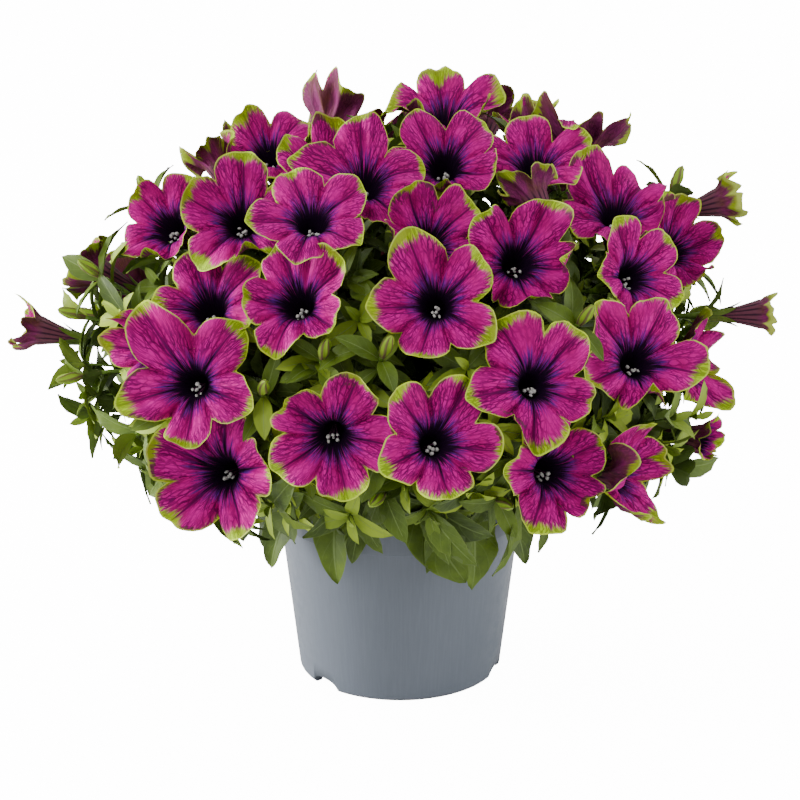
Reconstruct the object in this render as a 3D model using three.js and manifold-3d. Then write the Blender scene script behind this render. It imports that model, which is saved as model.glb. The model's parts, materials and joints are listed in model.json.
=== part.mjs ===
// A petunia in a round nursery pot: a dome of funnel-shaped blooms and leafy stems over a tapered pot.
// Millimetres, +Z up, origin at the middle of the pot's foot. Azimuth -90 is the front of the plant,
// azimuth 0 its right side, and elevation 90 is straight up.
import * as THREE from "three";
import { mergeVertices } from "three/addons/utils/BufferGeometryUtils.js";
import Module from "manifold-3d";

const wasm = await Module();
wasm.setup();

// Pot and soil
const potHeight = 92;
const rimRadius = 60;
const rimBandHeight = 12;
const neckRadius = 58.6;
const bodyBottomRadius = 49.6;
const footRadius = 47.6;
const footRingWidth = 3.4;
const footRound = 2.4;
const rimRound = 0.8;
const rimInset = 1;
const wall = 1.8;
const floorGap = 3;
const floorThickness = 2;
const potSegments = 36;
const notch = { width: 17, height: 5.6, inner: 41, outer: 54, azimuths: [-138, -18, 102] };
const soilTop = 80;
const soilHeave = 2.5;
const soilFlat = { inner: 0.42, outer: 0.72, turns: 24, sideGap: 1.9 };
const clearance = 0.3;

// Leafy stems: each rises from its hole in the soil and forks in a low and a high branch
const stemCount = 8;
const stemTurn = 22.5;
const stemBaseRadius = 20;
const stemThickness = 2.3;
const holeRadius = 3.1;
const holeDepth = 30;
const forkHeight = 98;
const lowBranch = { reach: 82, height: 146 };
const highBranch = { reach: 46, height: 196 };
const branchEnds = { rise: 0.55, dip: 0.18, reachBack: 0.4, highTurn: 12 };
const branchTaper = { start: 0.95, end: 0.75 };
const branchSections = 5;
const stalkThickness = 1.1;
const stalkSections = 3;
const stalkStarts = [0.95, 0.83, 0.7, 0.55];
const stalkBows = [[0, 0], [7, 0], [-7, 0], [0, 7], [0, -7], [14, 0], [-14, 0]];
const stalkReach = { out: 0.25, arrive: 0.4, gap: 0.39, nearest: 3 };
const rootDepth = 0.6;
const fuseTolerance = 0.02;
const cornerTolerances = [1e-4, 1e-3, 3e-3, 8e-3];

// Blooms: a limb of five fused lobes on a funnel and a slim tube. The upper lobes reach further.
const lobes = 5;
const throatRadius = 6.6;
const throatDepth = 12;
const petalThickness = 0.8;
const tubeLength = 23;
const tubeBaseRadius = 2.6;
const tubeTop = { wider: 1.3, lower: 1.6 };
const lobeOutline = { notch: 0.77, shoulder: 0.95, tip: 1.05 };
const lobeLengths = { least: 0.95, spread: 0.1 };
const shoulderAngle = 20;
const upperReach = 0.08;
const marginSwell = 0.05;
const crease = { out: 0.45, extraLift: 10, depth: 0.03 };
const ruffle = 0.07;
const settle = { slideStep: 1.5, slides: 9, turn: 12, turnCost: 5, shrinkCost: 60 };
const settleShrinks = [1, 0.93, 0.86];

// Leaves
const leafThickness = 1.2;
const leafFold = 0.32;
const narrowLeaf = [[0.52, 1]];
const broadLeaf = [[0.36, 1], [0.7, 0.74]];
const whorl = { spiral: 137.5, sway: 30, nudge: 14, tries: 4, firstRoot: 1, rootStep: 2.2, bend: 0.7 };
const whorlSpread = { first: 28, step: 10, sway: 16, nudge: 6 };
const whorlSize = { shortest: 0.8, longer: 0.35, slimmest: 0.32, wider: 0.1 };
const bud = { length: 15, widest: 8, radius: 2.6, spiral: 120, firstTurn: 50, inset: 2 };
const budLean = { forward: 0.9, outward: 0.4 };
const rimStalk = { inset: 6, end: 16, arch: 24, first: 0.3, step: 0.1, starts: 3, taper: 0.8 };
const rimTurns = [0, 3, -3, 6, -6, 9, -9];
const rimBlade = { outward: 0.6, downward: 0.8, bend: 0.75 };

// Each bloom: place of the limb's middle, the way it faces (azimuth, elevation), limb size across,
// lift of the limb out of the flat, and roll of its first lobe. Earlier ones keep their place.
const blooms = [
  { at: [15, -112, 222], face: [-95, 28], size: 61, lift: 24, roll: 42 },
  { at: [-30, -136, 166], face: [-92, 6], size: 65, lift: 24, roll: 68 },
  { at: [15, -134, 164], face: [-74, 26], size: 60, lift: 24, roll: 56 },
  { at: [60, -120, 187], face: [-72, 28], size: 61, lift: 24, roll: 42 },
  { at: [70, -124, 146], face: [-62, 12], size: 58, lift: 26, roll: 95 },
  { at: [-94, -106, 182], face: [-102, 20], size: 64, lift: 24, roll: 56 },
  { at: [-86, -114, 141], face: [-112, 2], size: 68, lift: 25, roll: 88 },
  { at: [108, -88, 188], face: [-74, 34], size: 60, lift: 24, roll: 55 },
  { at: [54, -90, 235], face: [-76, 30], size: 61, lift: 25, roll: 56 },
  { at: [-47, -104, 222], face: [-108, 40], size: 58, lift: 28, roll: 43 },
  { at: [-73, -60, 246], face: [-98, 38], size: 60, lift: 25, roll: 90 },
  { at: [-16, -55, 263], face: [-86, 48], size: 60, lift: 24, roll: 92 },
  { at: [101, -20, 240], face: [-86, 60], size: 62, lift: 24, roll: 52 },
  { at: [110, -58, 219], face: [-52, 28], size: 56, lift: 28, roll: 100 },
  { at: [-89, -82, 217], face: [-108, 48], size: 56, lift: 26, roll: 48 },
  { at: [20, -36, 266], face: [-92, 44], size: 56, lift: 24, roll: 52 },
  { at: [-110, -30, 234], face: [-122, 34], size: 52, lift: 28, roll: 75 },
  { at: [-119, -78, 186], face: [-140, 20], size: 56, lift: 30, roll: 110 },
  { at: [133, 4, 214], face: [-42, 36], size: 52, lift: 28, roll: 60 },
  { at: [14, -84, 243], face: [-94, 36], size: 58, lift: 26, roll: 112 },
  { at: [-39, -80, 243], face: [-92, 54], size: 54, lift: 16, roll: 40 },
  { at: [104, -100, 136], face: [-28, 6], size: 58, lift: 30, roll: 80 },
  { at: [142, -22, 164], face: [-26, 12], size: 54, lift: 30, roll: 70 },
  { at: [-37, -29, 266], face: [-112, 62], size: 50, lift: 30, roll: 20 },
  { at: [63, -6, 260], face: [-96, 64], size: 56, lift: 28, roll: 30 },
  { at: [22, 38, 274], face: [-80, 74], size: 60, lift: 28, roll: 15 },
  { at: [-64, 4, 262], face: [-112, 56], size: 52, lift: 30, roll: 65 },
  { at: [-28, 40, 270], face: [52, 42], size: 54, lift: 34, roll: 50 },
  { at: [88, 34, 264], face: [82, 62], size: 58, lift: 36, roll: 18 },
  { at: [57, -36, 255], face: [128, 40], size: 38, lift: 44, roll: 30 },
  { at: [60, 58, 264], face: [112, 60], size: 36, lift: 50, roll: 60 },
  { at: [-60, 32, 264], face: [150, 56], size: 38, lift: 50, roll: 10 },
  { at: [-90, 30, 254], face: [132, 52], size: 40, lift: 42, roll: 44 },
  { at: [-103, 16, 244], face: [168, 60], size: 36, lift: 40, roll: 26 },
  { at: [-179, -12, 178], face: [178, 12], size: 36, lift: 46, roll: 12 },
  { at: [-150, -4, 206], face: [172, 24], size: 40, lift: 42, roll: 60 },
  { at: [156, 30, 228], face: [16, 14], size: 34, lift: 48, roll: 40 },
  { at: [177, -4, 182], face: [0, 2], size: 26, lift: 62, roll: 20 },
  { at: [147, -44, 132], face: [-28, 2], size: 30, lift: 60, roll: 50 },
  { at: [120, 92, 178], face: [38, 14], size: 60, lift: 25, roll: 30 },
  { at: [62, 134, 152], face: [64, 4], size: 62, lift: 25, roll: 70 },
  { at: [-10, 147, 158], face: [94, 8], size: 62, lift: 25, roll: 10 },
  { at: [-80, 121, 150], face: [122, 2], size: 62, lift: 25, roll: 52 },
  { at: [-134, 66, 164], face: [152, 8], size: 60, lift: 25, roll: 84 },
  { at: [84, 92, 222], face: [50, 34], size: 60, lift: 25, roll: 5 },
  { at: [26, 112, 224], face: [80, 34], size: 60, lift: 25, roll: 46 },
  { at: [-42, 108, 222], face: [108, 34], size: 60, lift: 25, roll: 20 },
  { at: [-98, 74, 218], face: [142, 32], size: 58, lift: 26, roll: 62 },
  { at: [42, 86, 248], face: [70, 50], size: 56, lift: 26, roll: 36 },
  { at: [-18, 82, 252], face: [98, 52], size: 56, lift: 26, roll: 8 },
];

// Leafy tips between the blooms: place of the tip, the way it points, leaf length, leaves and buds
const tips = [
  { at: [-35, -112, 196], point: [-96, 42], leaf: 20, leaves: 6, buds: 3 },
  { at: [-8, -116, 198], point: [-84, 44], leaf: 23, leaves: 6, buds: 1 },
  { at: [-22, -112, 184], point: [-92, 12], leaf: 24, leaves: 5, buds: 0 },
  { at: [-62, -108, 178], point: [-98, 24], leaf: 24, leaves: 5, buds: 1 },
  { at: [-58, -112, 154], point: [-104, -4], leaf: 24, leaves: 5, buds: 1 },
  { at: [-7, -120, 134], point: [-92, -6], leaf: 18, leaves: 5, buds: 3 },
  { at: [30, -108, 190], point: [-84, 28], leaf: 26, leaves: 5, buds: 0 },
  { at: [44, -112, 128], point: [-80, -14], leaf: 26, leaves: 5, buds: 1 },
  { at: [16, -106, 122], point: [-90, -26], leaf: 28, leaves: 5, buds: 0 },
  { at: [80, -94, 206], point: [-68, 34], leaf: 26, leaves: 5, buds: 1 },
  { at: [-118, -8, 240], point: [166, 52], leaf: 24, leaves: 6, buds: 1 },
  { at: [-142, -26, 208], point: [-168, 26], leaf: 24, leaves: 6, buds: 2 },
  { at: [-150, -22, 186], point: [-170, 6], leaf: 24, leaves: 6, buds: 2 },
  { at: [-150, -34, 160], point: [-164, -16], leaf: 22, leaves: 5, buds: 1 },
  { at: [-122, -62, 142], point: [-148, -14], leaf: 30, leaves: 5, buds: 0 },
  { at: [-86, -76, 112], point: [-130, -50], leaf: 34, leaves: 5, buds: 0 },
  { at: [-6, 6, 262], point: [90, 78], leaf: 24, leaves: 5, buds: 0 },
  { at: [56, 34, 254], point: [60, 74], leaf: 24, leaves: 5, buds: 0 },
  { at: [132, 34, 232], point: [14, 42], leaf: 22, leaves: 5, buds: 3 },
  { at: [144, 18, 200], point: [4, 16], leaf: 24, leaves: 5, buds: 1 },
  { at: [128, -40, 118], point: [-12, -18], leaf: 32, leaves: 6, buds: 0 },
  { at: [96, -66, 114], point: [-42, -54], leaf: 32, leaves: 5, buds: 0 },
  { at: [142, 52, 160], point: [20, 4], leaf: 28, leaves: 6, buds: 2 },
  { at: [92, 112, 178], point: [50, 10], leaf: 28, leaves: 5, buds: 1 },
  { at: [24, 128, 178], point: [80, 16], leaf: 28, leaves: 5, buds: 1 },
  { at: [-44, 126, 172], point: [108, 14], leaf: 28, leaves: 5, buds: 1 },
  { at: [-112, 92, 176], point: [138, 14], leaf: 28, leaves: 5, buds: 1 },
  { at: [-146, 26, 170], point: [168, 2], leaf: 28, leaves: 6, buds: 2 },
  { at: [60, 84, 236], point: [56, 50], leaf: 24, leaves: 5, buds: 1 },
  { at: [-62, 74, 240], point: [124, 50], leaf: 24, leaves: 5, buds: 1 },
  { at: [96, 74, 112], point: [38, -44], leaf: 32, leaves: 5, buds: 0 },
  { at: [0, 112, 114], point: [90, -40], leaf: 32, leaves: 5, buds: 0 },
  { at: [-92, 74, 112], point: [140, -44], leaf: 32, leaves: 5, buds: 0 },
];

// Large leaves that hang over the rim: azimuth, distance out, length, width, and the blade's lean
const rimLeaves = [
  { azimuth: -150, out: 70, length: 40, width: 20, lean: 10 },
  { azimuth: -137, out: 74, length: 42, width: 18, lean: -14 },
  { azimuth: -121, out: 68, length: 42, width: 20, lean: 8 },
  { azimuth: -104, out: 72, length: 30, width: 12, lean: -10 },
  { azimuth: -88, out: 70, length: 46, width: 25, lean: 34 },
  { azimuth: -74, out: 73, length: 34, width: 12, lean: -16 },
  { azimuth: -62, out: 68, length: 46, width: 22, lean: -6 },
  { azimuth: -46, out: 72, length: 40, width: 20, lean: 14 },
  { azimuth: -30, out: 76, length: 36, width: 16, lean: -18 },
  { azimuth: -8, out: 74, length: 42, width: 20, lean: 12 },
  { azimuth: 14, out: 70, length: 44, width: 21, lean: -10 },
  { azimuth: 36, out: 74, length: 40, width: 18, lean: 16 },
  { azimuth: 58, out: 70, length: 44, width: 22, lean: -8 },
  { azimuth: 80, out: 74, length: 42, width: 20, lean: 12 },
  { azimuth: 104, out: 70, length: 44, width: 22, lean: -14 },
  { azimuth: 126, out: 74, length: 40, width: 19, lean: 10 },
  { azimuth: 148, out: 70, length: 44, width: 21, lean: -8 },
  { azimuth: 170, out: 74, length: 42, width: 20, lean: 14 },
  { azimuth: 190, out: 72, length: 40, width: 19, lean: -12 },
];

// A leaf part-way up each branch
const branchLeaf = { from: 0.35, along: 0.36, lowest: -20, rise: 60, tries: 6 };
const branchLeafSize = { length: 36, shortest: 0.75, longer: 0.4, width: 16, bend: 0.8 };

const zAxis = new THREE.Vector3(0, 0, 1);
const rad = THREE.MathUtils.degToRad;

// A repeatable stream of numbers from 0 to 1
function randomStream(seed) {
  let state = seed >>> 0;
  return () => {
    state = (state + 0x6d2b79f5) >>> 0;
    let t = state;
    t = Math.imul(t ^ (t >>> 15), t | 1);
    t ^= t + Math.imul(t ^ (t >>> 7), t | 61);
    return ((t ^ (t >>> 14)) >>> 0) / 4294967296;
  };
}

function direction(azimuth, elevation) {
  const flat = Math.cos(rad(elevation));
  return new THREE.Vector3(
    flat * Math.cos(rad(azimuth)),
    flat * Math.sin(rad(azimuth)),
    Math.sin(rad(elevation)),
  );
}

// Right and up directions of something that faces along w
function sideways(w) {
  const right = new THREE.Vector3().crossVectors(zAxis, w).normalize();
  return { right, up: new THREE.Vector3().crossVectors(w, right) };
}

function solidOf(points, faces) {
  const vertProperties = new Float32Array(points.flatMap((p) => p.toArray()));
  return new wasm.Manifold(
    new wasm.Mesh({ numProp: 3, vertProperties, triVerts: new Uint32Array(faces.flat()) }),
  );
}

function solidOfGeometry(geometry) {
  geometry.deleteAttribute("normal");
  geometry.deleteAttribute("uv");
  const merged = mergeVertices(geometry, 1e-4);
  return new wasm.Manifold(
    new wasm.Mesh({
      numProp: 3,
      vertProperties: merged.attributes.position.array,
      triVerts: new Uint32Array(merged.index.array),
    }),
  );
}

// Faces by corner number, once corners that lie within the tolerance of each other are one
function mergedFaces(solid, tolerance) {
  const data = solid.getMesh();
  const geometry = new THREE.BufferGeometry();
  geometry.setAttribute("position", new THREE.BufferAttribute(data.vertProperties, data.numProp));
  geometry.setIndex(new THREE.BufferAttribute(data.triVerts, 1));
  return mergeVertices(geometry, tolerance).index.array;
}

// Whether no face shrinks to a line and each edge is shared by just two faces
function isClosed(index) {
  const edges = new Map();
  for (let i = 0; i < index.length; i += 3) {
    for (let k = 0; k < 3; k++) {
      const a = index[i + k];
      const b = index[i + ((k + 1) % 3)];
      const key = Math.min(a, b) + " " + Math.max(a, b);
      edges.set(key, (edges.get(key) ?? 0) + 1);
    }
  }
  return [...edges].every(([key, count]) => count === 2 && new Set(key.split(" ")).size === 2);
}

// A stem with one more piece grown onto it, or null where they don't become one clean closed body
function fused(body, piece) {
  const joined = body.add(piece).simplify(fuseTolerance);
  if (joined.decompose().length !== 1) return null;
  return cornerTolerances.every((size) => isClosed(mergedFaces(joined, size))) ? joined : null;
}

function meshOf(name, solid, material) {
  const data = solid.getMesh();
  const geometry = new THREE.BufferGeometry();
  geometry.setAttribute("position", new THREE.BufferAttribute(data.vertProperties, data.numProp));
  geometry.setIndex(new THREE.BufferAttribute(data.triVerts, 1));
  geometry.computeVertexNormals();
  const mesh = new THREE.Mesh(geometry, material);
  mesh.name = name;
  return mesh;
}

// Pot: a turned wall with a rim band, a raised floor and three arched notches at the foot
function potProfile() {
  const rimInner = rimRadius - wall - rimInset;
  return [
    [0, floorGap],
    [footRadius - footRingWidth, floorGap],
    [footRadius - footRingWidth, 0],
    [footRadius, 0],
    [bodyBottomRadius - footRound * 0.25, footRound * 0.4],
    [bodyBottomRadius, footRound],
    [neckRadius, potHeight - rimBandHeight],
    [rimRadius, potHeight - rimBandHeight],
    [rimRadius, potHeight - rimRound],
    [rimRadius - rimRound, potHeight],
    [rimInner, potHeight],
    [neckRadius - wall, potHeight - rimBandHeight],
    [bodyBottomRadius - wall, floorGap + floorThickness],
    [0, floorGap + floorThickness],
  ].map(([r, z]) => new THREE.Vector2(r, z));
}

function turned(profile, segments) {
  const geometry = new THREE.LatheGeometry(profile, segments);
  geometry.rotateX(Math.PI / 2);
  return solidOfGeometry(geometry);
}

function notchCutter(azimuth) {
  const half = notch.width / 2;
  const outline = new THREE.Shape();
  outline.moveTo(-half, -1);
  outline.lineTo(half, -1);
  outline.lineTo(half, notch.height * 0.35);
  outline.quadraticCurveTo(half * 0.8, notch.height, 0, notch.height);
  outline.quadraticCurveTo(-half * 0.8, notch.height, -half, notch.height * 0.35);
  outline.lineTo(-half, -1);
  const depth = notch.outer - notch.inner;
  const geometry = new THREE.ExtrudeGeometry(outline, { depth, bevelEnabled: false, curveSegments: 4 });
  geometry.rotateX(Math.PI / 2);
  geometry.rotateZ(Math.PI);
  geometry.translate(0, notch.inner, 0);
  geometry.rotateZ(rad(azimuth - 90));
  return solidOfGeometry(geometry);
}

function makePot() {
  const cutters = notch.azimuths.map(notchCutter);
  return turned(potProfile(), potSegments).subtract(wasm.Manifold.union(cutters));
}

// Soil: a plug with a softly heaved top and a hole for each stem
function stemFoot(index) {
  return direction(stemTurn + (360 / stemCount) * index, 0).multiplyScalar(stemBaseRadius);
}

function makeSoil() {
  const bottom = floorGap + floorThickness + clearance;
  const flare = (neckRadius - bodyBottomRadius) / (potHeight - rimBandHeight);
  const innerRadius = (z) => bodyBottomRadius + flare * (z - footRound) - wall;
  const topRadius = innerRadius(soilTop);
  const profile = [
    [0, bottom],
    [innerRadius(bottom) - soilFlat.sideGap, bottom],
    [topRadius - soilFlat.sideGap, soilTop - soilHeave],
    [topRadius * soilFlat.outer, soilTop],
    [topRadius * soilFlat.inner, soilTop],
    [0, soilTop],
  ].map(([r, z]) => new THREE.Vector2(r, z));
  const geometry = new THREE.LatheGeometry(profile, soilFlat.turns);
  geometry.rotateX(Math.PI / 2);
  const position = geometry.getAttribute("position");
  for (let i = 0; i < position.count; i++) {
    const x = position.getX(i);
    const y = position.getY(i);
    const z = position.getZ(i);
    if (z === soilTop) {
      position.setZ(i, z + soilHeave * 0.5 * Math.sin(x * 0.13 + 1) * Math.cos(y * 0.11));
    }
  }
  const holes = [];
  for (let i = 0; i < stemCount; i++) {
    const hole = new THREE.CylinderGeometry(holeRadius, holeRadius, holeDepth * 2, 8);
    hole.rotateX(Math.PI / 2);
    hole.translate(...stemFoot(i).setZ(soilTop).toArray());
    holes.push(solidOfGeometry(hole));
  }
  return solidOfGeometry(geometry).subtract(wasm.Manifold.union(holes));
}

// Bloom: the limb, funnel and tube in its own frame, facing +Z with the limb's middle at the origin
function bloomShape(bloom, seed) {
  const random = randomStream(seed);
  const limb = bloom.size / 2 - throatRadius;
  const lift = rad(bloom.lift);
  const floorZ = -limb * Math.sin(lift);
  const along = (angle, share, extra) => {
    const reach = limb * share * (1 + upperReach * Math.sin(rad(bloom.roll + angle)));
    return [throatRadius + reach * Math.cos(lift + extra), floorZ + reach * Math.sin(lift + extra)];
  };
  const inside = [];
  const outside = [];
  const put = (list, angle, r, z) => {
    const a = rad(bloom.roll + angle);
    list.push(new THREE.Vector3(r * Math.cos(a), r * Math.sin(a), z));
  };
  const skin = [petalThickness * Math.sin(lift), petalThickness * Math.cos(lift)];
  const both = (angle, r, z) => {
    put(inside, angle, r, z);
    put(outside, angle, r + skin[0], z - skin[1]);
  };
  const lobeScale = [];
  for (let j = 0; j < lobes; j++) lobeScale.push(lobeLengths.least + lobeLengths.spread * random());
  const step = 360 / lobes;
  for (let j = 0; j < lobes; j++) {
    const next = (j + 1) % lobes;
    const wave = [random(), random(), random(), random()].map((w) => (w - 0.5) * ruffle * limb);
    const between = (lobeScale[j] + lobeScale[next]) / 2;
    const tip = along(step * j, lobeOutline.tip * lobeScale[j], 0);
    both(step * j, tip[0], tip[1] - marginSwell * limb + wave[0]);
    const first = along(step * j + shoulderAngle, lobeOutline.shoulder * lobeScale[j], 0);
    both(step * j + shoulderAngle, first[0], first[1] + marginSwell * limb + wave[1]);
    const dip = along(step * (j + 0.5), lobeOutline.notch * between, 0);
    both(step * (j + 0.5), dip[0], dip[1] + wave[2]);
    const second = along(step * (j + 1) - shoulderAngle, lobeOutline.shoulder * lobeScale[next], 0);
    both(step * (j + 1) - shoulderAngle, second[0], second[1] + marginSwell * limb + wave[3]);
  }
  for (let i = 0; i < 2 * lobes; i++) {
    const middle = along((step / 2) * i, crease.out, rad(crease.extraLift));
    const depth = (i % 2 ? crease.depth : -crease.depth) * limb;
    put(inside, (step / 2) * i, middle[0], middle[1] + depth);
  }
  for (let j = 0; j < lobes; j++) {
    put(inside, step * j, throatRadius, floorZ);
    put(outside, step * j, throatRadius + tubeTop.wider, floorZ - tubeTop.lower);
  }
  inside.push(new THREE.Vector3(0, 0, floorZ - throatDepth));
  for (let j = 0; j < lobes; j++) put(outside, step * j, tubeBaseRadius, floorZ - tubeLength);
  return { inside, outside, base: floorZ - tubeLength };
}

// Inside: margin ring, middle ring, throat ring and the deep end.
// Outside: margin ring, tube top and tube foot.
function bloomFaces() {
  const rim = 4 * lobes;
  const ring = 2 * lobes;
  const throat = rim + ring;
  const deep = throat + lobes;
  const under = deep + 1;
  const tube = under + rim;
  const foot = tube + lobes;
  const faces = [];
  for (let i = 0; i < ring; i++) {
    const n = (i + 1) % ring;
    faces.push([rim + i, 2 * i, 2 * i + 1]);
    faces.push([rim + i, 2 * i + 1, rim + n]);
    faces.push([rim + n, 2 * i + 1, (2 * i + 2) % rim]);
  }
  for (let j = 0; j < lobes; j++) {
    const n = (j + 1) % lobes;
    const middle = rim + 2 * j;
    faces.push([throat + j, middle, middle + 1]);
    faces.push([throat + j, middle + 1, throat + n]);
    faces.push([throat + n, middle + 1, rim + ((2 * j + 2) % ring)]);
    faces.push([deep, throat + j, throat + n]);
    const edge = [0, 1, 2, 3, 4].map((v) => under + ((4 * j + v) % rim));
    faces.push([tube + j, edge[1], edge[0]], [tube + j, edge[2], edge[1]]);
    faces.push([tube + j, tube + n, edge[2]]);
    faces.push([tube + n, edge[3], edge[2]], [tube + n, edge[4], edge[3]]);
    faces.push([tube + n, tube + j, foot + j], [tube + n, foot + j, foot + n]);
  }
  for (let j = 1; j < lobes - 1; j++) faces.push([foot, foot + j + 1, foot + j]);
  for (let i = 0; i < rim; i++) {
    const n = (i + 1) % rim;
    faces.push([i, under + i, under + n], [i, under + n, n]);
  }
  return faces;
}

// The bloom's frame in the plant, slid by some steps along its own axis
function bloomFrame(bloom, place) {
  const w = direction(bloom.face[0] + place.turn[0], bloom.face[1] + place.turn[1]);
  const { right, up } = sideways(w);
  const origin = new THREE.Vector3(...bloom.at).addScaledVector(w, place.slide);
  const matrix = new THREE.Matrix4().makeBasis(right, up, w);
  matrix.scale(new THREE.Vector3().setScalar(place.shrink)).setPosition(origin);
  return { origin, axis: w, matrix, shrink: place.shrink };
}

// Ways a bloom may give room to earlier ones: slide along its axis, turn a little or be a little smaller.
// The least change comes first.
function settledPlaces() {
  const places = [];
  const t = settle.turn;
  for (const shrink of settleShrinks) {
    for (const turn of [[0, 0], [t, 0], [-t, 0], [0, t], [0, -t]]) {
      for (let i = 0; i < 2 * settle.slides + 1; i++) {
        const slide = (i % 2 ? 1 : -1) * Math.ceil(i / 2) * settle.slideStep;
        const turned = turn[0] || turn[1] ? settle.turnCost : 0;
        const cost = Math.abs(slide) + turned + (1 - shrink) * settle.shrinkCost;
        places.push({ slide, turn, shrink, cost });
      }
    }
  }
  return places.sort((a, b) => a.cost - b.cost);
}

// Tube along a curve with a few sides, its end rings capped
function tubeSolid(curve, sections, sides, startRadius, endRadius) {
  const points = [];
  const faces = [];
  let side = null;
  for (let i = 0; i <= sections; i++) {
    const t = i / sections;
    const centre = curve.getPoint(t);
    const tangent = curve.getTangent(t);
    if (!side) side = Math.abs(tangent.z) > 0.9 ? new THREE.Vector3(1, 0, 0) : zAxis.clone();
    side = side.clone().addScaledVector(tangent, -side.dot(tangent)).normalize();
    const other = new THREE.Vector3().crossVectors(tangent, side);
    const radius = startRadius + (endRadius - startRadius) * t;
    for (let k = 0; k < sides; k++) {
      const a = (2 * Math.PI * k) / sides;
      const p = centre.clone().addScaledVector(side, radius * Math.cos(a));
      points.push(p.addScaledVector(other, radius * Math.sin(a)));
    }
  }
  for (let i = 0; i < sections; i++) {
    for (let k = 0; k < sides; k++) {
      const a = i * sides + k;
      const b = i * sides + ((k + 1) % sides);
      faces.push([a, b, b + sides]);
      faces.push([a, b + sides, a + sides]);
    }
  }
  const last = sections * sides;
  for (let k = 1; k < sides - 1; k++) {
    faces.push([0, k + 1, k]);
    faces.push([last, last + k, last + k + 1]);
  }
  return solidOf(points, faces);
}

// Leaf blade: an arched spine from its root, folded up along the midrib, thickest there, pointed at both ends
function leafSolid(root, along, face, length, width, bend, stations) {
  const across = new THREE.Vector3().crossVectors(along, face).normalize();
  const normal = new THREE.Vector3().crossVectors(across, along).normalize();
  const spine = (t) => {
    const a = bend * t;
    const forward = (length * Math.sin(a)) / bend;
    const drop = (length * (1 - Math.cos(a))) / bend;
    return root.clone().addScaledVector(along, forward).addScaledVector(normal, -drop);
  };
  const points = [root];
  for (const [t, share] of stations) {
    const facing = normal.clone().multiplyScalar(Math.cos(bend * t));
    facing.addScaledVector(along, Math.sin(bend * t));
    const half = (width / 2) * share;
    for (const s of [-1, 0, 1]) {
      const fold = Math.abs(s) * half * leafFold;
      points.push(spine(t).addScaledVector(across, s * half).addScaledVector(facing, fold));
    }
    points.push(spine(t).addScaledVector(facing, -leafThickness));
  }
  points.push(spine(1));
  return solidOf(points, leafFaces(stations.length));
}

function leafFaces(stationCount) {
  const tip = 4 * stationCount + 1;
  const faces = [[0, 2, 1], [0, 3, 2], [0, 1, 4], [0, 4, 3]];
  for (let i = 0; i < stationCount - 1; i++) {
    const [left, rib, right, under] = [1, 2, 3, 4].map((v) => v + 4 * i);
    faces.push([left, rib, left + 4], [rib, rib + 4, left + 4]);
    faces.push([rib, right, rib + 4], [right, right + 4, rib + 4]);
    faces.push([left, left + 4, under], [left + 4, under + 4, under]);
    faces.push([right, under, right + 4], [under, under + 4, right + 4]);
  }
  const [left, rib, right, under] = [4, 3, 2, 1].map((v) => tip - v);
  faces.push([tip, left, rib], [tip, rib, right], [tip, under, left], [tip, right, under]);
  return faces;
}

// What stands already, with its box, so that a new piece is tested only where the boxes meet
const standing = [];
const stems = new Map();

function grown(box, by) {
  return { min: box.min.map((v) => v - by), max: box.max.map((v) => v + by) };
}

function boxesMeet(a, b) {
  return a.min.every((v, i) => v <= b.max[i] && b.min[i] <= a.max[i]);
}

// A stalk or branch may join any piece of its own stem. A leaf or bud joins only what it grows from.
function isClear(piece) {
  const box = grown(piece.solid.boundingBox(), clearance);
  return standing.every((other) => {
    const sameStem = other.owner === piece.owner;
    if (sameStem && (!piece.carrier || other.solid === piece.carrier)) return true;
    if (!boxesMeet(box, other.box)) return true;
    return piece.solid.minGap(other.solid, clearance * 2) > (sameStem ? 0 : clearance);
  });
}

function stand(piece) {
  standing.push({ ...piece, box: piece.solid.boundingBox() });
}

// First of a piece's tries that is clear of what stands and joins its stem cleanly, or null
function firstClear(tries, make) {
  for (let k = 0; k < tries; k++) {
    const made = make(k);
    if (!isClear(made)) continue;
    const stem = stems.get(made.owner);
    const joined = stem && fused(stem, made.solid);
    if (stem && !joined) continue;
    if (stem) stems.set(made.owner, joined);
    stand(made);
    return made;
  }
  return null;
}

// Branches of a leafy stem, as curves from the fork
function branchCurve(index, branch) {
  const azimuth = stemTurn + (360 / stemCount) * index;
  const foot = stemFoot(index).setZ(soilTop - holeDepth + clearance);
  const fork = stemFoot(index).setZ(forkHeight);
  if (branch === "trunk") {
    return new THREE.LineCurve3(foot, fork.clone().setZ(forkHeight + 1));
  }
  const { reach, height } = branch === "low" ? lowBranch : highBranch;
  const turn = branch === "low" ? 0 : branchEnds.highTurn;
  const end = direction(azimuth + turn, 0).multiplyScalar(reach).setZ(height);
  const climb = height - forkHeight;
  const swing = end.clone().lerp(fork, branchEnds.reachBack).setZ(height - climb * branchEnds.dip);
  const upright = fork.clone().setZ(forkHeight + climb * branchEnds.rise);
  return new THREE.CubicBezierCurve3(fork, upright, swing, end);
}

// Point on a branch, which runs straight between its sections
function onChords(line, t) {
  const section = Math.min(Math.floor(t * branchSections), branchSections - 1);
  const from = line.getPoint(section / branchSections);
  const to = line.getPoint((section + 1) / branchSections);
  return from.lerp(to, t * branchSections - section);
}

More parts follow.
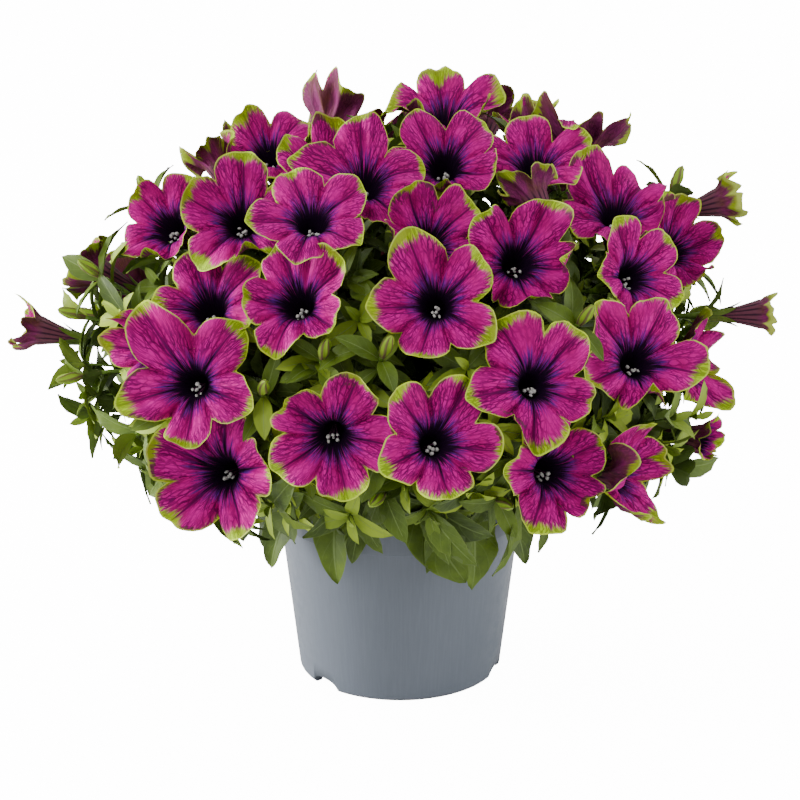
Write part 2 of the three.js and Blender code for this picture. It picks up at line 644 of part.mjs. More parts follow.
// Stalk from a branch to a place, arriving along a direction
function stalkCurve(branchLine, place, arrive, k) {
  const t = stalkStarts[k % stalkStarts.length];
  const [across, upward] = stalkBows[Math.floor(k / stalkStarts.length)];
  const start = onChords(branchLine, t);
  const tangent = branchLine.getTangent(t);
  const length = start.distanceTo(place);
  const { right, up } = sideways(arrive);
  const bow = right.multiplyScalar(across).addScaledVector(up, upward);
  const first = start.clone().addScaledVector(tangent, length * stalkReach.out).add(bow);
  const second = place.clone().addScaledVector(arrive, -length * stalkReach.arrive).add(bow);
  return new THREE.CubicBezierCurve3(start, first, second, place);
}

const stalkWays = stalkStarts.length * stalkBows.length;
const stalkTries = stalkReach.nearest * stalkWays;

// Stalk to a place from one of the branches, the nearest first
function makeStalk(place, arrive, endRadius, k) {
  const branch = branchesNear(place)[Math.floor(k / stalkWays)];
  const curve = stalkCurve(branch.line, place, arrive, k % stalkWays);
  const solid = tubeSolid(curve, stalkSections, 3, stalkThickness, endRadius);
  return { solid, owner: branch.owner, curve };
}

function branchesNear(place) {
  return branches.toSorted((a, b) => a.end.distanceTo(place) - b.end.distanceTo(place));
}

// Leaves round a tip, in a spiral down its stalk
function whorlLeaf(tip, index, stalk, k) {
  const random = randomStream(9000 + 131 * tips.indexOf(tip) + 17 * index);
  const w = direction(...tip.point);
  const { right, up } = sideways(w);
  const turn = rad(whorl.spiral * index + whorl.sway * random() + whorl.nudge * k);
  const { first, step, sway, nudge } = whorlSpread;
  const spread = rad(first + step * index + sway * random() - nudge * k);
  const outward = right.clone().multiplyScalar(Math.cos(turn)).addScaledVector(up, Math.sin(turn));
  const along = w.clone().multiplyScalar(Math.cos(spread)).addScaledVector(outward, Math.sin(spread));
  const face = w.clone().multiplyScalar(Math.sin(spread)).addScaledVector(outward, -Math.cos(spread));
  const length = tip.leaf * (whorlSize.shortest + whorlSize.longer * random());
  const width = length * (whorlSize.slimmest + whorlSize.wider * random());
  const end = stalk.curve.getPoint(1);
  const back = stalk.curve.getPoint(1 - 1 / stalkSections).sub(end).normalize();
  const root = end.addScaledVector(back, whorl.firstRoot + whorl.rootStep * index);
  return leafSolid(root, along, face, length, width, whorl.bend, narrowLeaf);
}

// A closed bud: a slim pointed spindle beside the tip
function budSolid(tip, index) {
  const w = direction(...tip.point);
  const { right, up } = sideways(w);
  const turn = rad(bud.spiral * index + bud.firstTurn);
  const outward = right.multiplyScalar(Math.cos(turn)).addScaledVector(up, Math.sin(turn));
  const along = w.clone().multiplyScalar(budLean.forward).addScaledVector(outward, budLean.outward).normalize();
  const root = new THREE.Vector3(...tip.at).addScaledVector(w, -bud.inset);
  const frame = sideways(along);
  const ring = (distance, radius) =>
    [0, 1, 2, 3].map((k) =>
      root
        .clone()
        .addScaledVector(along, distance)
        .addScaledVector(frame.right, radius * Math.cos((k * Math.PI) / 2))
        .addScaledVector(frame.up, radius * Math.sin((k * Math.PI) / 2)),
    );
  const points = [root, ...ring(bud.widest, bud.radius), root.clone().addScaledVector(along, bud.length)];
  const faces = [];
  for (let k = 0; k < 4; k++) {
    const n = (k + 1) % 4;
    faces.push([0, 1 + n, 1 + k]);
    faces.push([5, 1 + k, 1 + n]);
  }
  return solidOf(points, faces);
}

// A leaf that hangs over the rim on its own stalk
function rimLeafPieces(leaf, k) {
  const azimuth = leaf.azimuth + rimTurns[k % rimTurns.length];
  const out = direction(azimuth, 0);
  const branch = branchesNear(out.clone().multiplyScalar(lowBranch.reach).setZ(lowBranch.height))[0];
  const start = onChords(branch.line, rimStalk.first + rimStalk.step * Math.floor(k / rimTurns.length));
  const edge = out.clone().multiplyScalar(leaf.out - rimStalk.inset).setZ(potHeight + rimStalk.end);
  const middle = start.clone().lerp(edge, 0.5).setZ(potHeight + rimStalk.arch);
  const curve = new THREE.QuadraticBezierCurve3(start, middle, edge);
  const stalk = tubeSolid(curve, stalkSections, 3, stalkThickness, stalkThickness * rimStalk.taper);
  const side = sideways(out).right;
  const lean = rad(leaf.lean);
  const down = zAxis.clone().multiplyScalar(-Math.cos(lean)).addScaledVector(side, Math.sin(lean));
  const { outward, downward, bend } = rimBlade;
  const along = out.clone().multiplyScalar(outward).addScaledVector(down, downward).normalize();
  const face = out.clone().multiplyScalar(downward).addScaledVector(down, -outward);
  const root = edge.clone().addScaledVector(curve.getTangent(1), -rootDepth);
  const blade = leafSolid(root, along, face, leaf.length, leaf.width, bend, broadLeaf);
  return { solid: stalk.add(blade), owner: branch.owner };
}

function branchLeafSolid(branch, k) {
  const random = randomStream(500 + 7 * branches.indexOf(branch) + 1000 * k);
  const root = onChords(branch.line, branchLeaf.from + branchLeaf.along * random());
  const along = direction(360 * random(), branchLeaf.lowest + branchLeaf.rise * random());
  const { up } = sideways(along);
  const { shortest, longer, width, bend } = branchLeafSize;
  const length = branchLeafSize.length * (shortest + longer * random());
  return leafSolid(root, along, up, length, width, bend, broadLeaf);
}

const potSolid = makePot();
const soilSolid = makeSoil();
stand({ solid: potSolid, owner: "pot" });
stand({ solid: soilSolid, owner: "soil" });

// Blooms come first, in the table's order
const faces = bloomFaces();
const places = settledPlaces();
const placedBlooms = blooms.map((bloom, index) => {
  const name = `bloom_${String(index + 1).padStart(2, "0")}`;
  const shape = bloomShape(bloom, 40 + 97 * index);
  const make = (k) => {
    const frame = bloomFrame(bloom, places[k]);
    const points = [...shape.inside, ...shape.outside].map((p) => p.clone().applyMatrix4(frame.matrix));
    return { solid: solidOf(points, faces), owner: name, frame };
  };
  const { solid, frame } = firstClear(places.length, make);
  const base = frame.origin.clone().addScaledVector(frame.axis, shape.base * frame.shrink);
  return { name, solid, axis: frame.axis, base };
});

// Trunks and branches, then what grows on them
const branches = [];
for (let i = 0; i < stemCount; i++) {
  const owner = `leafy_stem_${i + 1}`;
  const trunk = tubeSolid(branchCurve(i, "trunk"), 1, 4, stemThickness, stemThickness);
  stems.set(owner, trunk);
  for (const kind of ["low", "high"]) {
    const line = branchCurve(i, kind);
    const { start, end } = branchTaper;
    const solid = tubeSolid(line, branchSections, 4, stemThickness * start, stemThickness * end);
    firstClear(1, () => ({ solid, owner }));
    branches.push({ owner, line, solid, end: line.getPoint(1) });
  }
}

// Stalk to each bloom, ending in a small cup just under its tube
for (const { base, axis } of placedBlooms) {
  const place = base.clone().addScaledVector(axis, -stalkReach.gap);
  firstClear(stalkTries, (k) => makeStalk(place, axis, tubeBaseRadius, k));
}
const tipStalks = tips.map((tip) => {
  const arrive = direction(...tip.point);
  const place = new THREE.Vector3(...tip.at);
  return firstClear(stalkTries, (k) => makeStalk(place, arrive, stalkThickness, k));
});
for (const leaf of rimLeaves) {
  firstClear(rimTurns.length * rimStalk.starts, (k) => rimLeafPieces(leaf, k));
}
tips.forEach((tip, index) => {
  const stalk = tipStalks[index];
  const { owner, solid: carrier } = stalk;
  for (let i = 0; i < tip.buds; i++) {
    firstClear(1, () => ({ solid: budSolid(tip, i), owner, carrier }));
  }
  for (let i = 0; i < tip.leaves; i++) {
    firstClear(whorl.tries, (k) => ({ solid: whorlLeaf(tip, i, stalk, k), owner, carrier }));
  }
});
for (const branch of branches) {
  const { owner, solid: carrier } = branch;
  firstClear(branchLeaf.tries, (k) => ({ solid: branchLeafSolid(branch, k), owner, carrier }));
}

const potMaterial = new THREE.MeshStandardMaterial({ color: 0x7d8794, roughness: 0.6, metalness: 0 });
const soilMaterial = new THREE.MeshStandardMaterial({ color: 0x2a1d15, roughness: 0.95, metalness: 0 });
const leafMaterial = new THREE.MeshStandardMaterial({ color: 0x4f7a24, roughness: 0.7, metalness: 0 });
const petalMaterial = new THREE.MeshStandardMaterial({ color: 0xb2107a, roughness: 0.6, metalness: 0 });

const plant = new THREE.Group();
plant.add(meshOf("pot", potSolid, potMaterial));
plant.add(meshOf("soil", soilSolid, soilMaterial));
for (const [name, solid] of stems) plant.add(meshOf(name, solid, leafMaterial));
for (const placed of placedBlooms) plant.add(meshOf(placed.name, placed.solid, petalMaterial));

export default plant;
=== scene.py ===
import json
import math
import bmesh
import bpy
import numpy as np
from mathutils import Matrix, Vector
from mathutils.bvhtree import BVHTree
from mathutils.kdtree import KDTree

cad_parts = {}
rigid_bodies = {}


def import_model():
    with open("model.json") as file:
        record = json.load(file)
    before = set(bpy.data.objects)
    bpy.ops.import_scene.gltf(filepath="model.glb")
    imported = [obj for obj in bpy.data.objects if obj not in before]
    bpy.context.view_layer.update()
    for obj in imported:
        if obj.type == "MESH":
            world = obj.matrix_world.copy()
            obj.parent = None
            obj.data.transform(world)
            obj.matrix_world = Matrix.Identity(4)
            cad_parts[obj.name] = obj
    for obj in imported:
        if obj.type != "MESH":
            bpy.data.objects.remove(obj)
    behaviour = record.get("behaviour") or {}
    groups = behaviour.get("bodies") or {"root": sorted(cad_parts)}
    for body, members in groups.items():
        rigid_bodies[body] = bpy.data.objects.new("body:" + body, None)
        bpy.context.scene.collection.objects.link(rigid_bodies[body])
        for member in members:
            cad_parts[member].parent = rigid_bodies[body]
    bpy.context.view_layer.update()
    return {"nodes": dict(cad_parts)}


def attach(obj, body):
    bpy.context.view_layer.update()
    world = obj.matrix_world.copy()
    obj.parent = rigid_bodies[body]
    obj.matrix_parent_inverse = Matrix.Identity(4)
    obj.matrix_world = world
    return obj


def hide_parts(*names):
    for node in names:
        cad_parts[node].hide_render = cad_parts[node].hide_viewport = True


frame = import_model()
mm = 0.001

# The photograph's view: a long lens, a little above the plant, aimed at the middle of the picture
view = {"lens": 140, "sensor": 36, "distance": 1.5, "elevation": 19.4, "aimHeight": 0.137, "clipEnd": 50}


def addCamera():
    data = bpy.data.cameras.new("view")
    data.lens = view["lens"]
    data.sensor_width = view["sensor"]
    data.clip_end = view["clipEnd"]
    camera = bpy.data.objects.new("view", data)
    bpy.context.scene.collection.objects.link(camera)
    rise = math.radians(view["elevation"])
    reach = view["distance"]
    camera.location = (0, -reach * math.cos(rise), view["aimHeight"] + reach * math.sin(rise))
    camera.rotation_euler = (math.pi / 2 - rise, 0, 0)
    bpy.context.scene.camera = camera


addCamera()
print("camera is in")

# The plant's layout repeats the CAD part's own, in mm
# Each bloom: place in mm, azimuth and elevation that it faces, size, lift, roll, and how green its edge is
blooms = [
    ((15, -112, 222), (-95, 28), 61, 24, 42, 1.2),
    ((-30, -136, 166), (-92, 6), 65, 24, 68, 1.4),
    ((15, -134, 164), (-74, 26), 60, 24, 56, 1.4),
    ((60, -120, 187), (-72, 28), 61, 24, 42, 1.1),
    ((70, -124, 146), (-62, 12), 58, 26, 95, 1.1),
    ((-94, -106, 182), (-102, 20), 64, 24, 56, 1),
    ((-86, -114, 141), (-112, 2), 68, 25, 88, 1.5),
    ((108, -88, 188), (-74, 34), 60, 24, 55, 1.1),
    ((54, -90, 235), (-76, 30), 61, 25, 56, 0.8),
    ((-47, -104, 222), (-108, 40), 58, 28, 43, 1.1),
    ((-73, -60, 246), (-98, 38), 60, 25, 90, 1.2),
    ((-16, -55, 263), (-86, 48), 60, 24, 92, 0.75),
    ((101, -20, 240), (-86, 60), 62, 24, 52, 0.8),
    ((110, -58, 219), (-52, 28), 56, 28, 100, 1.1),
    ((-89, -82, 217), (-108, 48), 56, 26, 48, 1.5),
    ((20, -36, 266), (-92, 44), 56, 24, 52, 0.75),
    ((-110, -30, 234), (-122, 34), 52, 28, 75, 1.1),
    ((-119, -78, 186), (-140, 20), 56, 30, 110, 1.3),
    ((133, 4, 214), (-42, 36), 52, 28, 60, 1.1),
    ((14, -84, 243), (-94, 36), 58, 26, 112, 1),
    ((-39, -80, 243), (-92, 54), 54, 16, 40, 0.9),
    ((104, -100, 136), (-28, 6), 58, 30, 80, 1.4),
    ((142, -22, 164), (-26, 12), 54, 30, 70, 1.2),
    ((-37, -29, 266), (-112, 62), 50, 30, 20, 1.2),
    ((63, -6, 260), (-96, 64), 56, 28, 30, 1.2),
    ((22, 38, 274), (-80, 74), 60, 28, 15, 1.6),
    ((-64, 4, 262), (-112, 56), 52, 30, 65, 1.5),
    ((-28, 40, 270), (52, 42), 54, 34, 50, 1),
    ((88, 34, 264), (82, 62), 58, 36, 18, 1),
    ((57, -36, 255), (128, 40), 38, 44, 30, 1.2),
    ((60, 58, 264), (112, 60), 36, 50, 60, 1.5),
    ((-60, 32, 264), (150, 56), 38, 50, 10, 2.4),
    ((-90, 30, 254), (132, 52), 40, 42, 44, 2.2),
    ((-103, 16, 244), (168, 60), 36, 40, 26, 1.5),
    ((-179, -12, 178), (178, 12), 36, 46, 12, 1.1),
    ((-150, -4, 206), (172, 24), 40, 42, 60, 1.5),
    ((156, 30, 228), (16, 14), 34, 48, 40, 5),
    ((177, -4, 182), (0, 2), 26, 62, 20, 5.5),
    ((147, -44, 132), (-28, 2), 30, 60, 50, 1.3),
    ((120, 92, 178), (38, 14), 60, 25, 30, 1),
    ((62, 134, 152), (64, 4), 62, 25, 70, 1),
    ((-10, 147, 158), (94, 8), 62, 25, 10, 1),
    ((-80, 121, 150), (122, 2), 62, 25, 52, 1),
    ((-134, 66, 164), (152, 8), 60, 25, 84, 1),
    ((84, 92, 222), (50, 34), 60, 25, 5, 1),
    ((26, 112, 224), (80, 34), 60, 25, 46, 1),
    ((-42, 108, 222), (108, 34), 60, 25, 20, 1),
    ((-98, 74, 218), (142, 32), 58, 26, 62, 1),
    ((42, 86, 248), (70, 50), 56, 26, 36, 1),
    ((-18, 82, 252), (98, 52), 56, 26, 8, 1),
]
# Each leafy tip: place in mm, the way it points, leaf length, leaves and buds
tips = [
    ((-35, -112, 196), (-96, 42), 20, 6, 3),
    ((-8, -116, 198), (-84, 44), 23, 6, 1),
    ((-22, -112, 184), (-92, 12), 24, 5, 0),
    ((-62, -108, 178), (-98, 24), 24, 5, 1),
    ((-58, -112, 154), (-104, -4), 24, 5, 1),
    ((-7, -120, 134), (-92, -6), 18, 5, 3),
    ((30, -108, 190), (-84, 28), 26, 5, 0),
    ((44, -112, 128), (-80, -14), 26, 5, 1),
    ((16, -106, 122), (-90, -26), 28, 5, 0),
    ((80, -94, 206), (-68, 34), 26, 5, 1),
    ((-118, -8, 240), (166, 52), 24, 6, 1),
    ((-142, -26, 208), (-168, 26), 24, 6, 2),
    ((-150, -22, 186), (-170, 6), 24, 6, 2),
    ((-150, -34, 160), (-164, -16), 22, 5, 1),
    ((-122, -62, 142), (-148, -14), 30, 5, 0),
    ((-86, -76, 112), (-130, -50), 34, 5, 0),
    ((-6, 6, 262), (90, 78), 24, 5, 0),
    ((56, 34, 254), (60, 74), 24, 5, 0),
    ((132, 34, 232), (14, 42), 22, 5, 3),
    ((144, 18, 200), (4, 16), 24, 5, 1),
    ((128, -40, 118), (-12, -18), 32, 6, 0),
    ((96, -66, 114), (-42, -54), 32, 5, 0),
    ((142, 52, 160), (20, 4), 28, 6, 2),
    ((92, 112, 178), (50, 10), 28, 5, 1),
    ((24, 128, 178), (80, 16), 28, 5, 1),
    ((-44, 126, 172), (108, 14), 28, 5, 1),
    ((-112, 92, 176), (138, 14), 28, 5, 1),
    ((-146, 26, 170), (168, 2), 28, 6, 2),
    ((60, 84, 236), (56, 50), 24, 5, 1),
    ((-62, 74, 240), (124, 50), 24, 5, 1),
    ((96, 74, 112), (38, -44), 32, 5, 0),
    ((0, 112, 114), (90, -40), 32, 5, 0),
    ((-92, 74, 112), (140, -44), 32, 5, 0),
]
# Each leaf over the rim: azimuth, distance out, length, width, lean
rimLeaves = [
    (-150, 70, 40, 20, 10),
    (-137, 74, 42, 18, -14),
    (-121, 68, 42, 20, 8),
    (-104, 72, 30, 12, -10),
    (-88, 70, 46, 25, 34),
    (-74, 73, 34, 12, -16),
    (-62, 68, 46, 22, -6),
    (-46, 72, 40, 20, 14),
    (-30, 76, 36, 16, -18),
    (-8, 74, 42, 20, 12),
    (14, 70, 44, 21, -10),
    (36, 74, 40, 18, 16),
    (58, 70, 44, 22, -8),
    (80, 74, 42, 20, 12),
    (104, 70, 44, 22, -14),
    (126, 74, 40, 19, 10),
    (148, 70, 44, 21, -8),
    (170, 74, 42, 20, 14),
    (190, 72, 40, 19, -12),
]

# Sizes and rules of the CAD part, in mm and degrees
pot = {"height": 92, "rimRadius": 60, "bandHeight": 12, "neckRadius": 58.6, "bottomRadius": 49.6,
       "footRadius": 47.6, "ringWidth": 3.4, "wall": 1.8, "floorGap": 3, "floorThickness": 2}
notch = {"width": 17, "height": 5.6, "straight": 0.35, "reach": (41, 54), "azimuths": (-138, -18, 102)}
soil = {"top": 80, "holeDepth": 30, "radius": 55.2}
stem = {"count": 8, "turn": 22.5, "baseRadius": 20, "thickness": 2.3, "forkHeight": 98, "sections": 5}
branchReach = {"low": (82, 146, 0), "high": (46, 196, 12)}
branchEnds = {"rise": 0.55, "dip": 0.18, "reachBack": 0.4}
stalk = {"thickness": 1.1, "sections": 3, "sides": 3, "gap": 0.39, "out": 0.25, "arrive": 0.4, "nearest": 3,
         "nearEnough": 0.4, "slim": 0.92, "widensAt": 0.86}
stalkStarts = (0.95, 0.83, 0.7, 0.55)
stalkBows = ((0, 0), (7, 0), (-7, 0), (0, 7), (0, -7), (14, 0), (-14, 0))
lobes = 5
lobeAngle = 360 // lobes
halfLobe = lobeAngle // 2
funnel = {"throat": 6.6, "tube": 23, "foot": 2.6, "notch": 0.77, "shoulder": 0.95, "tip": 1.05, "turn": 20,
          "upper": 0.08, "swell": 0.05, "ruffle": 0.07}
settle = {"step": 1.5, "slides": 9, "turn": 12, "shrinks": (1, 0.93, 0.86)}
leafFold = 0.32
whorl = {"spiral": 137.5, "sway": 30, "nudge": 14, "tries": 4, "firstRoot": 1, "rootStep": 2.2, "bend": 0.7}
whorlSpread = {"first": 28, "step": 10, "sway": 16, "nudge": 6}
whorlSize = {"shortest": 0.8, "longer": 0.35, "slimmest": 0.32, "wider": 0.1}
bud = {"length": 15, "radius": 2.6, "spiral": 120, "firstTurn": 50, "inset": 2, "fold": 0.1, "twist": 2.2,
       "rows": 11, "sides": 15}
budLean = {"forward": 0.9, "outward": 0.4}
rimStalk = {"inset": 6, "end": 16, "arch": 24, "first": 0.3, "step": 0.1, "starts": 3, "sink": 0.6}
rimTurns = (0, 3, -3, 6, -6, 9, -9)
rimBlade = {"outward": 0.6, "downward": 0.8, "bend": 0.75}
branchLeaf = {"from": 0.35, "along": 0.36, "lowest": -20, "rise": 60, "tries": 6, "length": 36,
              "shortest": 0.75, "longer": 0.4, "width": 16, "bend": 0.8}
matchTolerance = 0.06  # how near, in mm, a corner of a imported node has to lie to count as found
# Random streams: the first seed of each kind of piece, and how far its copies and tries lie apart
seeds = {"bloom": (40, 97), "whorl": (9000, 131, 17), "branchLeaf": (500, 7, 1000), "petals": (7000, 31, 997),
         "stamens": (8100, 1), "sepal": (8600, 7, 1), "leaf": (17, 1), "hairs": (900000, 1, 1),
         "fillLeaf": (0, 313, 29), "stalkLeaves": (20000, 997), "branchLeaves": (90000, 991),
         "shoot": (300000, 811, 37), "shootLeaves": (400000, 733), "rosette": (700000, 577),
         "rosetteTone": (5,), "rosetteLeaf": (0, 57), "soil": (4242,)}


def seedOf(kind, *counts):
    first, *steps = seeds[kind]
    return first + sum(step * count for step, count in zip(steps, counts))


# The same repeatable numbers from 0 to 1 as the CAD part draws
def randomStream(seed):
    word = 0xFFFFFFFF
    state = seed & word

    def draw():
        nonlocal state
        state = (state + 0x6D2B79F5) & word
        t = state
        t = ((t ^ (t >> 15)) * (t | 1)) & word
        t ^= (t + (((t ^ (t >> 7)) * (t | 61)) & word)) & word
        return (t ^ (t >> 14)) / 4294967296

    return draw


def direction(azimuth, elevation):
    a, e = math.radians(azimuth), math.radians(elevation)
    return Vector((math.cos(e) * math.cos(a), math.cos(e) * math.sin(a), math.sin(e)))


def sideways(facing):
    right = Vector((0, 0, 1)).cross(facing).normalized()
    return right, facing.cross(right)


def bezier(points, t):
    if len(points) == 1:
        return points[0]
    return bezier([a.lerp(b, t) for a, b in zip(points, points[1:])], t)


def tangentOf(points, t):
    low, high = max(t - 1e-3, 0), min(t + 1e-3, 1)
    return (bezier(points, high) - bezier(points, low)).normalized()


def nodeTree(name):
    vertices = frame["nodes"][name].data.vertices
    tree = KDTree(len(vertices))
    for i, v in enumerate(vertices):
        tree.insert(v.co / mm, i)
    tree.balance()
    return tree


def missBy(tree, points):
    return sum(tree.find(p)[2] for p in points) / len(points)


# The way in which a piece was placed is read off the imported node: the one whose corners lie in its mesh
def bestMatch(options, treeOf, cornersOf):
    scored = [(missBy(treeOf(o), cornersOf(o)), i) for i, o in enumerate(options)]
    miss, index = min(scored)
    return options[index], miss


def bloomShape(row, seed):
    draw = randomStream(seed)
    limb = row[2] / 2 - funnel["throat"]
    lift = math.radians(row[3])
    floor = -limb * math.sin(lift)
    scales = [0.95 + 0.1 * draw() for _ in range(lobes)]
    margin = []
    for j in range(lobes):
        waves = [(draw() - 0.5) * funnel["ruffle"] * limb for _ in range(4)]
        after = scales[(j + 1) % lobes]
        middle = lobeAngle * j
        rows = ((middle, funnel["tip"] * scales[j], -funnel["swell"] * limb + waves[0]),
                (middle + funnel["turn"], funnel["shoulder"] * scales[j], funnel["swell"] * limb + waves[1]),
                (middle + halfLobe, funnel["notch"] * (scales[j] + after) / 2, waves[2]),
                (middle + lobeAngle - funnel["turn"], funnel["shoulder"] * after,
                 funnel["swell"] * limb + waves[3]))
        for angle, share, wave in rows:
            share *= 1 + funnel["upper"] * math.sin(math.radians(row[4] + angle))
            margin.append((angle, funnel["throat"] + limb * share * math.cos(lift),
                           floor + limb * share * math.sin(lift) + wave, share))
    return {"limb": limb, "lift": lift, "floor": floor, "margin": margin, "roll": row[4],
            "foot": floor - funnel["tube"], "scales": scales}


def bloomMatrix(row, slide, turn, shrink):
    facing = direction(row[1][0] + turn[0], row[1][1] + turn[1])
    right, up = sideways(facing)
    origin = Vector(row[0]) + facing * slide
    matrix = Matrix((right, up, facing)).transposed() * shrink
    return matrix, origin, facing


def findBloom(index, row):
    name = f"bloom_{index + 1:02d}"
    shape = bloomShape(row, seedOf("bloom", index))
    tree = nodeTree(name)
    corners = []
    for angle, r, z, _ in shape["margin"][:4]:
        a = math.radians(shape["roll"] + angle)
        corners.append(Vector((r * math.cos(a), r * math.sin(a), z)))
    t = settle["turn"]
    options = [(k * settle["step"], turn, shrink) for shrink in settle["shrinks"]
               for turn in ((0, 0), (t, 0), (-t, 0), (0, t), (0, -t))
               for k in range(-settle["slides"], settle["slides"] + 1)]

    def cornersOf(option):
        matrix, origin, _ = bloomMatrix(row, *option)
        return [matrix @ c + origin for c in corners]

    option, miss = bestMatch(options, lambda o: tree, cornersOf)
    if miss > matchTolerance:
        print("bloom", index + 1, "is off by", miss)
    matrix, origin, facing = bloomMatrix(row, *option)
    base = origin + facing * shape["foot"] * option[2]
    return {"name": name, "shape": shape, "matrix": matrix, "origin": origin, "facing": facing, "base": base,
            "shrink": option[2], "green": row[5], "index": index}


def stemFoot(index):
    return direction(stem["turn"] + 45 * index, 0) * stem["baseRadius"]


def branchPoints(index, kind):
    fork = stemFoot(index)
    fork.z = stem["forkHeight"]
    reach, height, turn = branchReach[kind]
    climb = height - stem["forkHeight"]
    end = direction(stem["turn"] + 45 * index + turn, 0) * reach
    end.z = height
    swing = end.lerp(fork, branchEnds["reachBack"])
    swing.z = height - climb * branchEnds["dip"]
    upright = fork.copy()
    upright.z = stem["forkHeight"] + climb * branchEnds["rise"]
    return [fork, upright, swing, end]


# Point on a CAD branch, which runs straight between its sections
def onChords(points, t):
    n = stem["sections"]
    section = min(int(t * n), n - 1)
    return bezier(points, section / n).lerp(bezier(points, (section + 1) / n), t * n - section)


def tubeRing(points, sections, sides, index, radius):
    side = None
    for i in range(index + 1):
        tangent = tangentOf(points, i / sections)
        if side is None:
            side = Vector((1, 0, 0)) if abs(tangent.z) > 0.9 else Vector((0, 0, 1))
        side = (side - tangent * side.dot(tangent)).normalized()
    other = tangent.cross(side)
    centre = bezier(points, index / sections)
    turns = [2 * math.pi * k / sides for k in range(sides)]
    return [centre + side * radius * math.cos(a) + other * radius * math.sin(a) for a in turns]


def stalkOptions(place, arrive):
    near = sorted(branches, key=lambda b: (b["end"] - place).length)[:stalk["nearest"]]
    right, up = sideways(arrive)
    options = []
    for branch in near:
        for across, upward in stalkBows:
            for t in stalkStarts:
                start = onChords(branch["points"], t)
                tangent = tangentOf(branch["points"], t)
                length = (start - place).length
                bow = right * across + up * upward
                points = [start, start + tangent * length * stalk["out"] + bow,
                          place - arrive * length * stalk["arrive"] + bow, place]
                options.append({"points": points, "branch": branch})
    return options


def findStalk(place, arrive, endRadius):
    def cornersOf(option):
        corners = []
        for i in range(1, stalk["sections"]):
            radius = stalk["thickness"] + (endRadius - stalk["thickness"]) * i / stalk["sections"]
            corners += tubeRing(option["points"], stalk["sections"], stalk["sides"], i, radius)
        return corners

    best, miss = bestMatch(stalkOptions(place, arrive), lambda o: stemTrees[o["branch"]["owner"]], cornersOf)
    if miss > stalk["nearEnough"]:
        print("stalk to", tuple(place), "is off by", miss)
    return best


# A blade's own frame: root, along, across and normal
def bladeFrame(root, along, face, length, width, bend):
    across = along.cross(face).normalized()
    normal = across.cross(along).normalized()
    return {"root": root, "along": along, "across": across, "normal": normal, "length": length,
            "width": width, "bend": bend}


def spineAt(blade, t):
    a, r = blade["bend"] * t, blade["length"] / blade["bend"]
    return blade["root"] + blade["along"] * r * math.sin(a) - blade["normal"] * r * (1 - math.cos(a))


# The first option whose tip is in the stem's mesh, or none where the CAD part left it out
def findBlade(options, tree):
    for blade in options:
        if missBy(tree, [spineAt(blade, 1)]) < matchTolerance:
            return blade
    return None


def whorlBlade(tipIndex, row, index, points, k):
    draw = randomStream(seedOf("whorl", tipIndex, index))
    facing = direction(*row[1])
    right, up = sideways(facing)
    turn = math.radians(whorl["spiral"] * index + whorl["sway"] * draw() + whorl["nudge"] * k)
    spread = math.radians(whorlSpread["first"] + whorlSpread["step"] * index + whorlSpread["sway"] * draw()
                          - whorlSpread["nudge"] * k)
    outward = right * math.cos(turn) + up * math.sin(turn)
    along = facing * math.cos(spread) + outward * math.sin(spread)
    face = facing * math.sin(spread) - outward * math.cos(spread)
    length = row[2] * (whorlSize["shortest"] + whorlSize["longer"] * draw())
    width = length * (whorlSize["slimmest"] + whorlSize["wider"] * draw())
    end = points[-1]
    back = (bezier(points, 2 / 3) - end).normalized()
    root = end + back * (whorl["firstRoot"] + whorl["rootStep"] * index)
    return bladeFrame(root, along, face, length, width, whorl["bend"])


def budFrame(row, index):
    facing = direction(*row[1])
    right, up = sideways(facing)
    turn = math.radians(bud["spiral"] * index + bud["firstTurn"])
    outward = right * math.cos(turn) + up * math.sin(turn)
    along = (facing * budLean["forward"] + outward * budLean["outward"]).normalized()
    return Vector(row[0]) - facing * bud["inset"], along


def rimOption(row, k):
    azimuth, out, length, width, lean = row
    turns = len(rimTurns)
    outward = direction(azimuth + rimTurns[k % turns], 0)
    low = outward * branchReach["low"][0]
    low.z = branchReach["low"][1]
    branch = min(branches, key=lambda b: (b["end"] - low).length)
    start = onChords(branch["points"], rimStalk["first"] + rimStalk["step"] * (k // turns))
    edge = outward * (out - rimStalk["inset"])
    edge.z = pot["height"] + rimStalk["end"]
    middle = start.lerp(edge, 0.5)
    middle.z = pot["height"] + rimStalk["arch"]
    points = [start, middle, edge]
    side = sideways(outward)[0]
    tilt = math.radians(lean)
    down = Vector((0, 0, -math.cos(tilt))) + side * math.sin(tilt)
    along = (outward * rimBlade["outward"] + down * rimBlade["downward"]).normalized()
    face = outward * rimBlade["downward"] - down * rimBlade["outward"]
    root = edge - tangentOf(points, 1) * rimStalk["sink"]
    blade = bladeFrame(root, along, face, length, width, rimBlade["bend"])
    return {"points": points, "branch": branch, "blade": blade}


def branchBlade(branch, index, k):
    draw = randomStream(seedOf("branchLeaf", index, k))
    root = onChords(branch["points"], branchLeaf["from"] + branchLeaf["along"] * draw())
    along = direction(360 * draw(), branchLeaf["lowest"] + branchLeaf["rise"] * draw())
    length = branchLeaf["length"] * (branchLeaf["shortest"] + branchLeaf["longer"] * draw())
    return bladeFrame(root, along, sideways(along)[1], length, branchLeaf["width"], branchLeaf["bend"])


stemTrees = {f"leafy_stem_{i + 1}": nodeTree(f"leafy_stem_{i + 1}") for i in range(stem["count"])}
branches = []
for i in range(stem["count"]):
    for kind in ("low", "high"):
        points = branchPoints(i, kind)
        branches.append({"owner": f"leafy_stem_{i + 1}", "points": points, "end": points[-1]})
placedBlooms = [findBloom(i, row) for i, row in enumerate(blooms)]
print("blooms are found")


